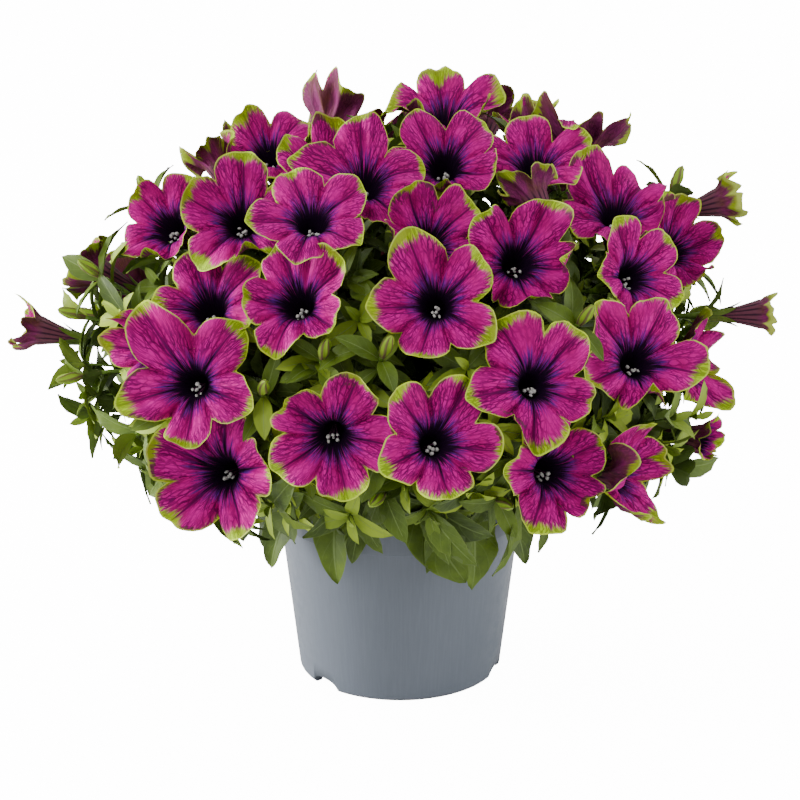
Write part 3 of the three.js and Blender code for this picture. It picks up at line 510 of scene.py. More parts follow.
# A smooth wave round a bloom or along a leaf, summed from sines
def smoothNoise(draw, waves, strength):
    rows = [(k, strength * (draw() - 0.5) * 2 / math.sqrt(k), draw() * 2 * math.pi) for k in waves]

    def value(angle):
        return sum(size * np.sin(k * angle + shift) for k, size, shift in rows)

    return value


# Corner lists in mm gather here until they become a piece; side tells which material a face takes
class Sheets:
    def __init__(self):
        self.points, self.faces, self.maps, self.sides, self.count = [], [], [], [], 0

    def add(self, points, faces, uv, side):
        self.points.append(np.asarray(points, dtype=float).reshape(-1, 3))
        self.faces.append(np.asarray(faces, dtype=int).reshape(-1, 4) + self.count)
        self.maps.append(np.asarray(uv, dtype=float).reshape(-1, 5))
        self.sides.append(np.full(len(self.faces[-1]), side))
        self.count += len(self.points[-1])


# Faces of a grid of rows by columns, turned round where asked
def gridFaces(rows, columns, closed=False, flip=False):
    last = columns if closed else columns - 1
    i, j = np.meshgrid(np.arange(rows - 1), np.arange(last), indexing="ij")
    k = (j + 1) % columns
    low, high = i * columns, (i + 1) * columns
    quads = np.stack([low + j, low + k, high + k, high + j], axis=-1).reshape(-1, 4)
    return quads[:, ::-1] if flip else quads


def makePiece(name, sheets, materials, replaced=()):
    points = np.concatenate(sheets.points) * mm
    faces = np.concatenate(sheets.faces)
    data = np.concatenate(sheets.maps)
    sides = np.concatenate(sheets.sides)
    lists = [list(dict.fromkeys(f)) for f in faces.tolist()]
    keep = [i for i, f in enumerate(lists) if len(f) > 2]
    mesh = bpy.data.meshes.new(name)
    mesh.from_pydata(points.tolist(), [], [lists[i] for i in keep])
    mesh.polygons.foreach_set("material_index", sides[keep].astype(np.int32))
    mesh.polygons.foreach_set("use_smooth", np.ones(len(keep), dtype=bool))
    for material in materials:
        mesh.materials.append(material)
    place = mesh.attributes.new("place", "FLOAT_VECTOR", "POINT")
    place.data.foreach_set("vector", data[:, :3].astype(np.float32).ravel())
    for number, label in ((3, "edge"), (4, "own")):
        layer = mesh.attributes.new(label, "FLOAT", "POINT")
        layer.data.foreach_set("value", data[:, number].astype(np.float32))
    mesh.update()
    piece = bpy.data.objects.new(name, mesh)
    bpy.context.scene.collection.objects.link(piece)
    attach(piece, "root")
    if replaced:
        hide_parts(*replaced)
    return piece


# Bloom: one smooth limb of five fused lobes that flares out of a slim tube
bloomGrid = {"limbRows": 18, "rowPower": 0.95, "throatRows": 5, "backRows": 7, "tubeRows": 7}
bloomForm = {"crease": 0.11, "creaseWidth": 5.5, "seam": 0.07, "seamWidth": 4.5, "swell": 0.08, "bulge": 0.1,
             "billow": 0.29, "curl": 0.24, "curlDown": 0.05, "curlFrom": 0.66, "curlSpan": 0.34,
             "edgeRuffle": 0.13, "tilt": 36, "fold": 56, "foldedLobes": 0.2, "foldTries": 4, "hinge": 0.28,
             "thickness": 0.35, "depth": 19, "footRadius": 2.2, "topRadius": 7.0, "fill": 1.5, "wall": 0.45,
             "tubeGap": 0.6, "tries": 11, "calmer": 0.09, "neighbour": 95}
lobeTip = {"least": 1.05, "spread": 0.13, "fall": 0.29, "power": 1.3, "slit": 0.12, "slitWidth": 2.4,
           "slitWider": 2.2, "slitDeeper": 0.6, "ragged": 0.035}
petalWaves = {"outline": (7, 11, 14, 18, 23), "ruffle": (8, 10, 13, 16, 21, 27), "billow": (2, 3, 4, 5, 7),
              "curl": (1, 2, 3, 5, 6, 8)}
halfColumns = (1, 3.2, 6.5, 10, 14, 18.5, 23, 27.5, 31.5, 34.3)
lobeColumns = tuple(-c for c in reversed(halfColumns)) + halfColumns + (halfLobe,)
sampleRows = (0, 3, 6, 9, 12, 14, bloomGrid["limbRows"] - 1)
sampleStep = 3
farFromEdge = 30


# A smooth closed curve through values given at angles
def periodic(angles, values, at):
    a = np.concatenate([np.array(angles) - 360, angles, np.array(angles) + 360])
    v = np.concatenate([values, values, values])
    i = np.searchsorted(a, at, side="right") - 1
    span = a[i + 1] - a[i]
    t = (at - a[i]) / span
    before = (v[i + 1] - v[i - 1]) / (a[i + 1] - a[i - 1]) * span
    after = (v[i + 2] - v[i]) / (a[i + 2] - a[i]) * span
    t2, t3 = t * t, t * t * t
    first, last = 2 * t3 - 3 * t2 + 1, 3 * t2 - 2 * t3
    return first * v[i] + (t3 - 2 * t2 + t) * before + last * v[i + 1] + (t3 - t2) * after


def tubeRadius(share):
    form = bloomForm
    wider = (form["topRadius"] - form["footRadius"]) * np.clip(share, 0, 1) ** form["fill"]
    return form["footRadius"] + wider


# How far each column of the limb reaches: lobes with their own tips, narrow slits between them, a ragged edge
def lobeReach(shape, phi, radians, draw):
    lobe = np.repeat(np.arange(lobes), len(lobeColumns))
    scales = np.array(shape["scales"])
    beside = np.where(phi > 0, scales[(lobe + 1) % lobes], scales[(lobe - 1) % lobes])
    off = np.abs(phi)
    blend = (off / halfLobe) ** 2 * 0.5
    tips = lobeTip["least"] + lobeTip["spread"] * np.array([draw() for _ in range(lobes)])
    fall = tips[lobe] - lobeTip["least"] + lobeTip["fall"]
    share = tips[lobe] - fall * (off / halfLobe) ** lobeTip["power"]
    gaps = np.array([draw() ** 2 for _ in range(lobes)])[(lobe + (phi > 0)) % lobes]
    slitWidth = lobeTip["slitWidth"] * (1 + lobeTip["slitWider"] * gaps)
    slit = lobeTip["slit"] * (1 + lobeTip["slitDeeper"] * gaps)
    share = share - slit * np.exp(-((halfLobe - off) / slitWidth) ** 2)
    share = share * (scales[lobe] * (1 - blend) + beside * blend)
    share = share * (1 + funnel["upper"] * np.sin(radians + math.radians(shape["roll"])))
    return share * (1 + smoothNoise(draw, petalWaves["outline"], lobeTip["ragged"])(radians))


# Each lobe leans a little forwards or back, and a few of those below fold over the throat
def leanLobes(shape, phi, s, r, z, draw, attempt):
    form = bloomForm
    loose = 1 - form["calmer"] * attempt
    tilts = []
    for j in range(lobes):
        lean = (2 * draw() - 0.9) * form["tilt"] * loose
        below = math.sin(math.radians(shape["roll"] + lobeAngle * j)) < -0.25
        folds = draw() < form["foldedLobes"] and below and attempt < form["foldTries"]
        tilts.append(form["fold"] if folds else lean)
    across = np.cos(np.radians(phi * 2.5)) ** 2
    tilt = np.radians(np.repeat(tilts, len(lobeColumns)) * across)[None, :]
    tilt = tilt * np.clip((s - form["hinge"]) / (1 - form["hinge"]), 0, 1) ** 0.7
    hingeRow = int(np.searchsorted(s[:, 0], form["hinge"]))
    dr, dz = r - r[hingeRow], z - z[hingeRow]
    cosine, sine = np.cos(tilt), np.sin(tilt)
    return r[hingeRow] + dr * cosine - dz * sine, z[hingeRow] + dr * sine + dz * cosine


def bloomSheets(placed, attempt=0):
    shape, form = placed["shape"], bloomForm
    draw = randomStream(seedOf("petals", placed["index"], attempt))
    loose = 1 - form["calmer"] * attempt
    limb, lift, floor = shape["limb"], shape["lift"], shape["floor"]
    phi = np.tile(np.array(lobeColumns), lobes)
    turn = np.repeat(np.arange(lobes) * lobeAngle, len(lobeColumns)) + phi
    heights = [z - floor - limb * share * math.sin(lift) for _, _, z, share in shape["margin"]]
    wave = periodic([row[0] for row in shape["margin"]], np.array(heights), turn % 360)
    radians = np.radians(turn)
    share = lobeReach(shape, phi, radians, draw)
    ruffle = smoothNoise(draw, petalWaves["ruffle"], form["edgeRuffle"] * limb)(radians)
    billow = smoothNoise(draw, petalWaves["billow"], form["billow"] * limb)(radians)
    curl = smoothNoise(draw, petalWaves["curl"], form["curl"] * limb)(radians) - form["curlDown"] * limb
    ruffle, billow, curl = ruffle * (0.5 + 0.5 * loose), billow * loose, curl * loose
    s = np.linspace(0, 1, bloomGrid["limbRows"])[:, None] ** bloomGrid["rowPower"]
    reach = limb * share[None, :] * s
    r = funnel["throat"] + reach * math.cos(lift) * (0.86 + 0.14 * s)
    z = floor + reach * math.sin(lift) + form["bulge"] * limb * np.sin(np.pi * s ** 0.7)
    crease = np.exp(-(phi / form["creaseWidth"]) ** 2)[None, :]
    seam = np.exp(-((np.abs(phi) - halfLobe) / form["seamWidth"]) ** 2)[None, :]
    halves = np.sin(np.pi * np.abs(phi) / halfLobe)[None, :]
    belly = np.sin(np.pi * np.clip(s, 0, 1) ** 0.8) * 0.7 + 0.45 * s
    z = z + limb * belly * (form["swell"] * halves - form["crease"] * crease - form["seam"] * seam)
    z = z + wave[None, :] * s ** 1.5 + billow[None, :] * s ** 1.6 + ruffle[None, :] * s ** 3
    z = z - curl[None, :] * np.clip((s - form["curlFrom"]) / form["curlSpan"], 0, 1) ** 2
    r, z = leanLobes(shape, phi, s, r, z, draw, attempt)
    a = radians[None, :] + math.radians(shape["roll"])
    edge = limb * share[None, :] * (1 - s) / placed["green"]

    # What the materials read at a corner: its angle as a cosine and a sine, how far out it lies, and its
    # distance from the edge
    def mapped(rr, zz, along, side):
        points = np.stack([rr * np.cos(a), rr * np.sin(a), zz], axis=-1)
        parts = (np.cos(radians)[None, :], np.sin(radians)[None, :], along, side)
        return points, np.stack([np.broadcast_to(p, rr.shape) for p in parts], axis=-1)

    face, faceMap = mapped(r, z, s, edge)
    coarse = face[sampleRows, :][:, ::sampleStep]
    placed["sample"] = placedPoints(placed, coarse.reshape(-1, 3)), coarse.shape[:2]
    q = np.linspace(0, 1, bloomGrid["throatRows"] + 1)[1:, None]
    depth = form["depth"] * q
    total = floor - shape["foot"]
    throatR = (tubeRadius(1 - depth / total) - form["wall"]) * np.ones_like(radians)[None, :]
    throatR[-1] = 0.1
    throatZ = floor - depth + 0 * radians[None, :]
    throat, throatMap = mapped(throatR, throatZ, -q * 0.6, farFromEdge + 0 * throatR)
    inside = np.concatenate([throat[::-1], face])
    insideMap = np.concatenate([throatMap[::-1], faceMap])
    # The back lies a petal's thickness behind the face
    gradient = np.gradient(face, axis=0), np.roll(face, -1, axis=1) - np.roll(face, 1, axis=1)
    normal = np.cross(gradient[1], gradient[0])
    normal /= np.maximum(np.linalg.norm(normal, axis=-1, keepdims=True), 1e-9)
    normal[normal[..., 2] < 0] *= -1
    picks = np.linspace(0, bloomGrid["limbRows"] - 1, bloomGrid["backRows"])
    picks = np.unique(np.round(picks).astype(int))
    back = (face - normal * form["thickness"])[picks[:-1]][::-1]
    backMap = faceMap[picks[:-1]][::-1]
    x = np.linspace(1, 0, bloomGrid["tubeRows"])[:, None]
    outerR = tubeRadius(x) * np.ones_like(radians)[None, :]
    outerZ = shape["foot"] + (total - form["tubeGap"]) * x + 0 * radians[None, :]
    tube, tubeMap = mapped(outerR, outerZ, (x - 1) * 0.9, farFromEdge + 0 * outerR)
    outside = np.concatenate([face[-1:], back, tube])
    outsideMap = np.concatenate([faceMap[-1:], backMap, tubeMap])
    return inside, insideMap, outside, outsideMap


# From a bloom's own frame to the plant's
def placedPoints(placed, points):
    matrix = np.array(placed["matrix"])
    return np.asarray(points) @ matrix.T + np.array(placed["origin"])


# The five numbers kept at each corner: what the materials read, filled up with zeros, and a tone of its own
def withOwn(place, own):
    flat = np.asarray(place, dtype=float)
    flat = flat.reshape(-1, flat.shape[-1])
    blank = np.zeros((len(flat), 4 - flat.shape[1]))
    return np.concatenate([flat, blank, np.full((len(flat), 1), own)], axis=1)


def ellipsoid(centre, axis, length, radius, rings=5, sides=7):
    right, up = sideways(axis) if abs(axis.z) < 0.99 else (Vector((1, 0, 0)), Vector((0, 1, 0)))
    points, t = [], np.linspace(0, math.pi, rings + 1)
    for v in t:
        for k in range(sides):
            a = 2 * math.pi * k / sides
            p = centre + axis * (-math.cos(v) * length / 2)
            p = p + (right * math.cos(a) + up * math.sin(a)) * radius * math.sin(v)
            points.append(p)
    return [tuple(p) for p in points], gridFaces(rings + 1, sides, closed=True, flip=True)


# Stamens: five pale anthers on slim filaments, and the stigma between them, low in the throat
stamen = {"count": 5, "turn": 72, "sway": 75, "ring": 2.5, "least": 0.55, "wider": 0.65, "height": -3.8,
          "uneven": 1.8, "low": 2.4, "lean": 1.6, "anther": 2.4, "radius": 1.05, "filament": 0.3,
          "footRing": 0.7, "root": -17, "stigmaRing": 0.2, "stigmaLength": 1.2}


def addStamens(sheets, placed):
    floor = placed["shape"]["floor"]
    draw = randomStream(seedOf("stamens", placed["index"]))
    lean = stamen["lean"]
    for k in range(stamen["count"] + 1):
        isAnther = k < stamen["count"]
        a = math.radians(stamen["turn"] * k + stamen["sway"] * draw())
        ring = stamen["stigmaRing"]
        if isAnther:
            ring = stamen["ring"] * (stamen["least"] + stamen["wider"] * draw())
        height = floor + stamen["height"] + stamen["uneven"] * (draw() - 0.5)
        head = Vector((ring * math.cos(a), ring * math.sin(a) - stamen["low"], height))
        root = floor + stamen["root"]
        foot = Vector((stamen["footRing"] * math.cos(a), stamen["footRing"] * math.sin(a), root))
        axis = (head - foot).normalized()
        tipped = axis + Vector((lean * draw() - lean / 2, lean * draw() - lean / 2, 0))
        length = stamen["anther"] * (1 if isAnther else stamen["stigmaLength"])
        radius = stamen["radius"] * (0.6 + 0.4 * draw())
        points, faces = ellipsoid(head, tipped.normalized(), length, radius, 4, 6)
        own = withOwn(np.zeros((len(points), 3)), k / stamen["count"])
        sheets.add(placedPoints(placed, points), faces, own, 2)
        points, faces = tubeGrid([foot, foot.lerp(head, 0.5), head], lambda t: stamen["filament"], 2, 4)
        sheets.add(placedPoints(placed, points), faces, withOwn(np.zeros((len(points), 3)), 2), 2)


# Corners and faces of a tube that follows a Bezier curve
def tubeGrid(points, radiusAt, sections, sides):
    rows, side = [], None
    for i in range(sections + 1):
        t = i / sections
        tangent = tangentOf(points, t)
        if side is None:
            side = Vector((1, 0, 0)) if abs(tangent.z) > 0.9 else Vector((0, 0, 1))
        side = (side - tangent * side.dot(tangent)).normalized()
        other = tangent.cross(side)
        centre, radius = bezier(points, t), radiusAt(t)
        for k in range(sides):
            a = 2 * math.pi * k / sides
            rows.append(tuple(centre + (side * math.cos(a) + other * math.sin(a)) * radius))
    return rows, gridFaces(sections + 1, sides, closed=True)


def addTube(sheets, points, radiusAt, sections, sides, side, own):
    rows, faces = tubeGrid(points, radiusAt, sections, sides)
    t = np.repeat(np.linspace(0, 1, sections + 1), sides)
    around = np.tile(np.arange(sides) / sides, sections + 1)
    uv = np.stack([around, t, 0 * t], axis=-1)
    last = sections * sides
    sheets.add(rows, faces, withOwn(uv, own), side)
    cap = np.array([[rows[last + k] for k in range(sides)]]).reshape(-1, 3)
    middle = cap.mean(axis=0, keepdims=True)
    fan = [[sides, k, (k + 1) % sides, (k + 1) % sides] for k in range(sides)]
    sheets.add(np.concatenate([cap, middle]), fan, withOwn(np.zeros((sides + 1, 3)) + (0, 1, 0), own), side)


# A bloom keeps clear of those made before it: it takes another, calmer wave where it would touch one
def settledSheets(placed, settled):
    for attempt in range(bloomForm["tries"]):
        sheets = bloomSheets(placed, attempt)
        points, (rows, columns) = placed["sample"]
        tree = BVHTree.FromPolygons(points.tolist(), gridFaces(rows, columns, closed=True).tolist())
        close = [other for base, other in settled if (base - placed["base"]).length < bloomForm["neighbour"]]
        if not any(tree.overlap(other) for other in close):
            break
    settled.append((placed["base"], tree))
    return sheets


def addBloom(placed, settled):
    sheets = Sheets()
    inside, insideMap, outside, outsideMap = settledSheets(placed, settled)
    own = (placed["index"] * 0.618) % 1
    for side, (grid, gridMap) in enumerate(((inside, insideMap), (outside, outsideMap))):
        faces = gridFaces(grid.shape[0], grid.shape[1], closed=True)
        sheets.add(placedPoints(placed, grid.reshape(-1, 3)), faces, withOwn(gridMap, own), side)
    addStamens(sheets, placed)
    name = f"petunia_bloom_{placed['index'] + 1:02d}"
    makePiece(name, sheets, [petalFace, petalBack, stamenPale], (placed["name"],))


# Leaves: a two-sided blade with a folded midrib, a waved edge and a slim pointed tip
leafForm = {"thickness": 0.5, "wave": 0.07, "slimmest": 0.35}


# Both faces of a blade, whose corners run s across it and t along it
def addBothFaces(sheets, top, under, s, t, own, flip):
    rows, columns = top.shape[:2]
    parts = (s[None, :], t[:, None], np.zeros((rows, columns)))
    uv = np.stack([np.broadcast_to(p, (rows, columns)) for p in parts], axis=-1)
    sheets.add(top.reshape(-1, 3), gridFaces(rows, columns, flip=flip), withOwn(uv, own), 0)
    sheets.add(under.reshape(-1, 3), gridFaces(rows, columns, flip=not flip), withOwn(uv + (0, 0, 1), own), 0)


def addLeaf(sheets, blade, broad, own, shift=None, rows=10, half=3):
    draw = randomStream(seedOf("leaf", int(own * 100000)))
    t = np.linspace(0, 1, rows)
    power = 0.72 if broad else 0.95
    width = blade["width"] / 2 * np.sin(np.pi * np.clip(t, 1e-4, 1) ** power) ** (0.75 if broad else 0.85)
    width = np.maximum(width, leafForm["slimmest"] * (1 - t))
    s = np.linspace(-1, 1, 2 * half + 1)
    a = blade["bend"] * t
    root = np.array(blade["root"] if shift is None else shift)
    along, across, normal = (np.array(blade[k]) for k in ("along", "across", "normal"))
    r = blade["length"] / blade["bend"]
    spine = root + np.outer(r * np.sin(a), along) - np.outer(r * (1 - np.cos(a)), normal)
    facing = np.outer(np.cos(a), normal) + np.outer(np.sin(a), along)
    left = smoothNoise(draw, (1.5, 2.5, 4), 1)(t * math.pi * 2)
    right = smoothNoise(draw, (1.5, 2.5, 4), 1)(t * math.pi * 2)
    wave = np.where(s[None, :] < 0, left[:, None], right[:, None]) * leafForm["wave"] * blade["width"]
    fold = np.abs(s)[None, :] ** 1.2 * width[:, None] * leafFold + wave * np.abs(s)[None, :] ** 2
    top = spine[:, None, :] + across[None, None, :] * (s[None, :] * width[:, None])[..., None]
    top = top + facing[:, None, :] * fold[..., None]
    inner = (1 - np.abs(s) ** 4)[None, :, None]
    under = top - facing[:, None, :] * leafForm["thickness"] * inner * (1 - 0.6 * t)[:, None, None]
    addBothFaces(sheets, top, under, s, t, own, flip=True)


# Materials: small helpers that write a node tree
class Graph:
    def __init__(self, tree):
        self.tree = tree

    def make(self, kind, values=None, **settings):
        node = self.tree.nodes.new("ShaderNode" + kind)
        for key, value in settings.items():
            setattr(node, key, value)
        for key, value in (values or {}).items():
            self.put(node.inputs[key], value)
        return node

    def put(self, socket, value):
        if isinstance(value, bpy.types.NodeSocket):
            self.tree.links.new(value, socket)
        else:
            socket.default_value = value

    def math(self, operation, *values):
        return self.make("Math", dict(enumerate(values)), operation=operation).outputs[0]

    def smooth(self, value, low, high, first=0.0, last=1.0):
        values = {"Value": value, "From Min": low, "From Max": high, "To Min": first, "To Max": last}
        return self.make("MapRange", values, interpolation_type="SMOOTHSTEP").outputs[0]

    def mix(self, share, first, second):
        return self.make("Mix", {0: share, 6: first, 7: second}, data_type="RGBA").outputs[2]

    def noise(self, vector, scale, detail=3.0, roughness=0.5):
        values = {"Vector": vector, "Scale": scale, "Detail": detail, "Roughness": roughness}
        return self.make("TexNoise", values).outputs[0]

    def cells(self, vector, scale):
        values = {"Vector": vector, "Scale": scale}
        return self.make("TexVoronoi", values, feature="DISTANCE_TO_EDGE").outputs[0]

    def vector(self, x, y, z):
        return self.make("CombineXYZ", {0: x, 1: y, 2: z}).outputs[0]

    def attribute(self, name):
        return self.make("Attribute", attribute_name=name)

    def parts(self, vector):
        return self.make("SeparateXYZ", {0: vector}).outputs


def newGroup(name, inputs, outputs):
    tree = bpy.data.node_groups.new(name, "ShaderNodeTree")
    for label in inputs:
        tree.interface.new_socket(name=label, in_out="INPUT", socket_type="NodeSocketFloat")
    for label in outputs:
        tree.interface.new_socket(name=label, in_out="OUTPUT", socket_type="NodeSocketFloat")
    first = tree.nodes.new("NodeGroupInput")
    last = tree.nodes.new("NodeGroupOutput")
    return Graph(tree), first.outputs, last.inputs


def useGroup(graph, group, values):
    node = graph.tree.nodes.new("ShaderNodeGroup")
    node.node_tree = group
    for key, value in values.items():
        graph.put(node.inputs[key], value)
    return node.outputs


def newMaterial(name):
    material = bpy.data.materials.new(name)
    material.use_nodes = True
    material.node_tree.nodes.clear()
    graph = Graph(material.node_tree)
    shader = graph.make("BsdfPrincipled")
    output = graph.make("OutputMaterial")
    graph.tree.links.new(shader.outputs[0], output.inputs[0])
    return material, graph, shader.inputs


def addBump(graph, inputs, height, strength, distance):
    bump = graph.make("Bump", {"Strength": strength, "Distance": distance, "Height": height})
    graph.put(inputs["Normal"], bump.outputs[0])


def setFinish(inputs, values):
    inputs["Roughness"].default_value = values["roughness"]
    inputs["Specular IOR Level"].default_value = values["specular"]


# Petal pattern: veins that branch out of the throat, a dark throat with streaks, and a feathered green edge
petalPattern = {"netCells": 13.0, "netLength": 5.5, "netFrom": 0.02, "netTo": 0.15, "netDepth": 0.75,
                "veins": 4.0, "veinBase": 0.36, "veinEnd": 0.17, "midBase": 0.04, "midEnd": 0.009,
                "midSway": 0.02, "forkSway": 0.9, "veinSway": 0.5, "faintest": 0.35, "throatFrom": 0.06,
                "throatTo": 0.22, "throatStreak": 0.95, "violetTo": 0.44, "edgeWidth": -0.7, "tipWidth": 3.6,
                "tipSpan": 19.0, "feather": 9.5, "patch": 10.5, "rimWidth": 0.4, "middleRadius": 7.0,
                "reach": 23.0, "ripple": 0.8, "groove": 0.5}
# Where each vein forks on its way out: how far the two arms part, and where that starts and ends
petalForks = ((0.25, 0.12, 0.5), (0.125, 0.36, 0.74), (0.0625, 0.6, 1.0))
# Noises of the pattern: how fine round the bloom, how fine along it, detail and roughness
petalNoise = {"sway": (5.0, 3.0, 3.0, 0.5), "forks": (4.5, 0.3, 2.0, 0.5), "bends": (6.0, 5.0, 3.0, 0.5),
              "fading": (3.0, 2.0, 2.0, 0.5), "streaks": (21.0, 0.5, 4.0, 0.6),
              "violet": (27.0, 0.7, 3.0, 0.6), "plumes": (30.0, 1.6, 5.0, 0.65),
              "patches": (1.6, 0.6, 2.0, 0.5), "specks": (46.0, 9.0, 3.0, 0.7),
              "ripples": (16.0, 3.0, 4.0, 0.5)}


def petalPatternGroup():
    p = petalPattern
    labels = ("Cosine", "Sine", "Along", "Edge", "Own")
    results = ("Veins", "Throat", "Violet", "Margin", "Pale", "Rim", "Relief")
    graph, given, wanted = newGroup("petal pattern", labels, results)
    g = graph.math
    cosine, sine, along, edge, own = (given[k] for k in labels)
    seed = g("MULTIPLY", own, 61.0)

    def ringPoint(radius, stretch):
        depth = g("ADD", g("MULTIPLY", along, stretch), seed)
        return graph.vector(g("MULTIPLY", cosine, radius), g("MULTIPLY", sine, radius), depth)

    def grain(name):
        radius, stretch, detail, roughness = petalNoise[name]
        return graph.noise(ringPoint(radius, stretch), 1.0, detail, roughness)

    # Numbers either side of 0, for bending and shifting
    def sway(name, strength, middle=0.5):
        return g("MULTIPLY", g("SUBTRACT", grain(name), middle), strength)

    angle = g("MULTIPLY", g("ARCTAN2", sine, cosine), 180 / math.pi / lobeAngle)
    phase = g("SUBTRACT", g("FRACT", g("ADD", angle, 0.5)), 0.5)
    off = g("ABSOLUTE", phase)  # 0 at a lobe's middle, 0.5 at the notch
    middle = g("ABSOLUTE", g("ADD", phase, sway("sway", p["midSway"])))
    outward = g("MAXIMUM", along, 0.0)
    forked = g("ADD", outward, sway("forks", p["forkSway"]))
    turned = g("ADD", g("MULTIPLY", angle, p["veins"]), g("ADD", sway("bends", p["veinSway"]), 0.5))
    apart = g("ABSOLUTE", g("SUBTRACT", g("FRACT", turned), 0.5))
    for split, start, end in petalForks:
        apart = g("ABSOLUTE", g("SUBTRACT", apart, graph.smooth(forked, start, end, 0.0, split)))
    radius = g("ADD", g("MULTIPLY", outward, p["reach"]), p["middleRadius"])
    scale = 2 * math.pi / lobes / p["veins"]
    distance = g("MULTIPLY", g("MULTIPLY", apart, scale), radius)
    vein = graph.smooth(outward, 0.0, 1.0, p["veinBase"], p["veinEnd"])
    forkLines = graph.smooth(distance, g("MULTIPLY", vein, 0.5), g("MULTIPLY", vein, 1.6), 1.0, 0.0)
    net = graph.cells(ringPoint(p["netCells"], p["netLength"]), 1.0)
    netLines = graph.smooth(net, p["netFrom"], p["netTo"], p["netDepth"], 0.0)
    midWidth = graph.smooth(outward, 0.0, 1.0, p["midBase"], p["midEnd"])
    midLine = graph.smooth(middle, g("MULTIPLY", midWidth, 0.5), g("MULTIPLY", midWidth, 1.5), 1.0, 0.0)
    fade = graph.smooth(grain("fading"), 0.32, 0.62, p["faintest"], 1.0)
    lines = g("MAXIMUM", g("MULTIPLY", g("MAXIMUM", netLines, forkLines), fade), midLine)
    graph.put(wanted["Veins"], lines)
    streak = sway("streaks", p["throatStreak"])
    depth = g("ADD", along, g("ADD", streak, g("MULTIPLY", midLine, -0.12)))
    graph.put(wanted["Throat"], graph.smooth(depth, p["throatFrom"], p["throatTo"], 1.0, 0.0))
    violet = graph.smooth(depth, p["throatTo"], p["violetTo"], 1.0, 0.0)
    graph.put(wanted["Violet"], g("MULTIPLY", violet, graph.smooth(grain("violet"), 0.36, 0.58)))
    ragged = g("ADD", sway("plumes", p["feather"]), sway("patches", p["patch"], 0.46))
    tip = graph.smooth(off, 0.0, p["tipSpan"] / lobeAngle, p["tipWidth"], 0.0)
    over = g("SUBTRACT", edge, g("ADD", g("ADD", tip, p["edgeWidth"]), ragged))
    inner = graph.smooth(along, 0.3, 0.6)
    graph.put(wanted["Margin"], g("MULTIPLY", graph.smooth(over, -1.0, 1.3, 1.0, 0.0), inner))
    speck = graph.smooth(grain("specks"), 0.42, 0.62)
    halo = g("MULTIPLY", graph.smooth(over, 0.0, 3.0, 1.0, 0.0), inner)
    graph.put(wanted["Pale"], g("MULTIPLY", g("MULTIPLY", halo, speck), g("SUBTRACT", 1.0, lines)))
    graph.put(wanted["Rim"], graph.smooth(edge, p["rimWidth"] * 0.5, p["rimWidth"] * 1.8, 1.0, 0.0))
    ripple = g("MULTIPLY", grain("ripples"), p["ripple"])
    graph.put(wanted["Relief"], g("SUBTRACT", ripple, g("MULTIPLY", lines, p["groove"])))
    return graph.tree


def petalInputs(graph):
    place = graph.parts(graph.attribute("place").outputs["Vector"])
    edge = graph.attribute("edge").outputs["Fac"]
    own = graph.attribute("own").outputs["Fac"]
    return {"Cosine": place[0], "Sine": place[1], "Along": place[2], "Edge": edge, "Own": own}


petalColours = {"magenta": (0.6, 0.0, 0.265, 1), "deep": (0.46, 0.0, 0.18, 1), "pale": (0.74, 0.2, 0.4, 1),
                "violet": (0.085, 0.012, 0.24, 1), "throat": (0.011, 0.002, 0.015, 1),
                "vein": (0.075, 0.0, 0.055, 1), "lime": (0.4, 0.6, 0.012, 1), "olive": (0.16, 0.24, 0.01, 1),
                "rim": (0.56, 0.72, 0.06, 1), "roughness": 0.62, "specular": 0.06}


def petalFaceMaterial():
    c = petalColours
    material, graph, inputs = newMaterial("petal face")
    pattern = useGroup(graph, petalGroup, petalInputs(graph))
    spread = graph.noise(graph.attribute("place").outputs["Vector"], 2.2, 3.0)
    colour = graph.mix(graph.smooth(spread, 0.36, 0.6), c["deep"], c["magenta"])
    colour = graph.mix(graph.math("MULTIPLY", pattern["Pale"], 0.5), colour, c["pale"])
    colour = graph.mix(pattern["Violet"], colour, c["violet"])
    colour = graph.mix(graph.math("MULTIPLY", pattern["Veins"], 0.85), colour, c["vein"])
    colour = graph.mix(pattern["Throat"], colour, c["throat"])
    green = graph.mix(graph.smooth(pattern["Veins"], 0.0, 0.8, 0.0, 0.8), c["lime"], c["olive"])
    colour = graph.mix(pattern["Margin"], colour, green)
    colour = graph.mix(pattern["Rim"], colour, c["rim"])
    graph.put(inputs["Base Color"], colour)
    setFinish(inputs, c)
    addBump(graph, inputs, pattern["Relief"], 0.7, 0.0006)
    return material


backColours = {"mauve": (0.22, 0.02, 0.12, 1), "brown": (0.13, 0.04, 0.035, 1),
               "vein": (0.06, 0.006, 0.03, 1), "green": (0.27, 0.36, 0.015, 1), "pale": (0.5, 0.6, 0.1, 1),
               "tube": (0.13, 0.035, 0.06, 1), "stripe": (0.03, 0.006, 0.02, 1), "stripes": 7.5,
               "roughness": 0.62, "specular": 0.15}


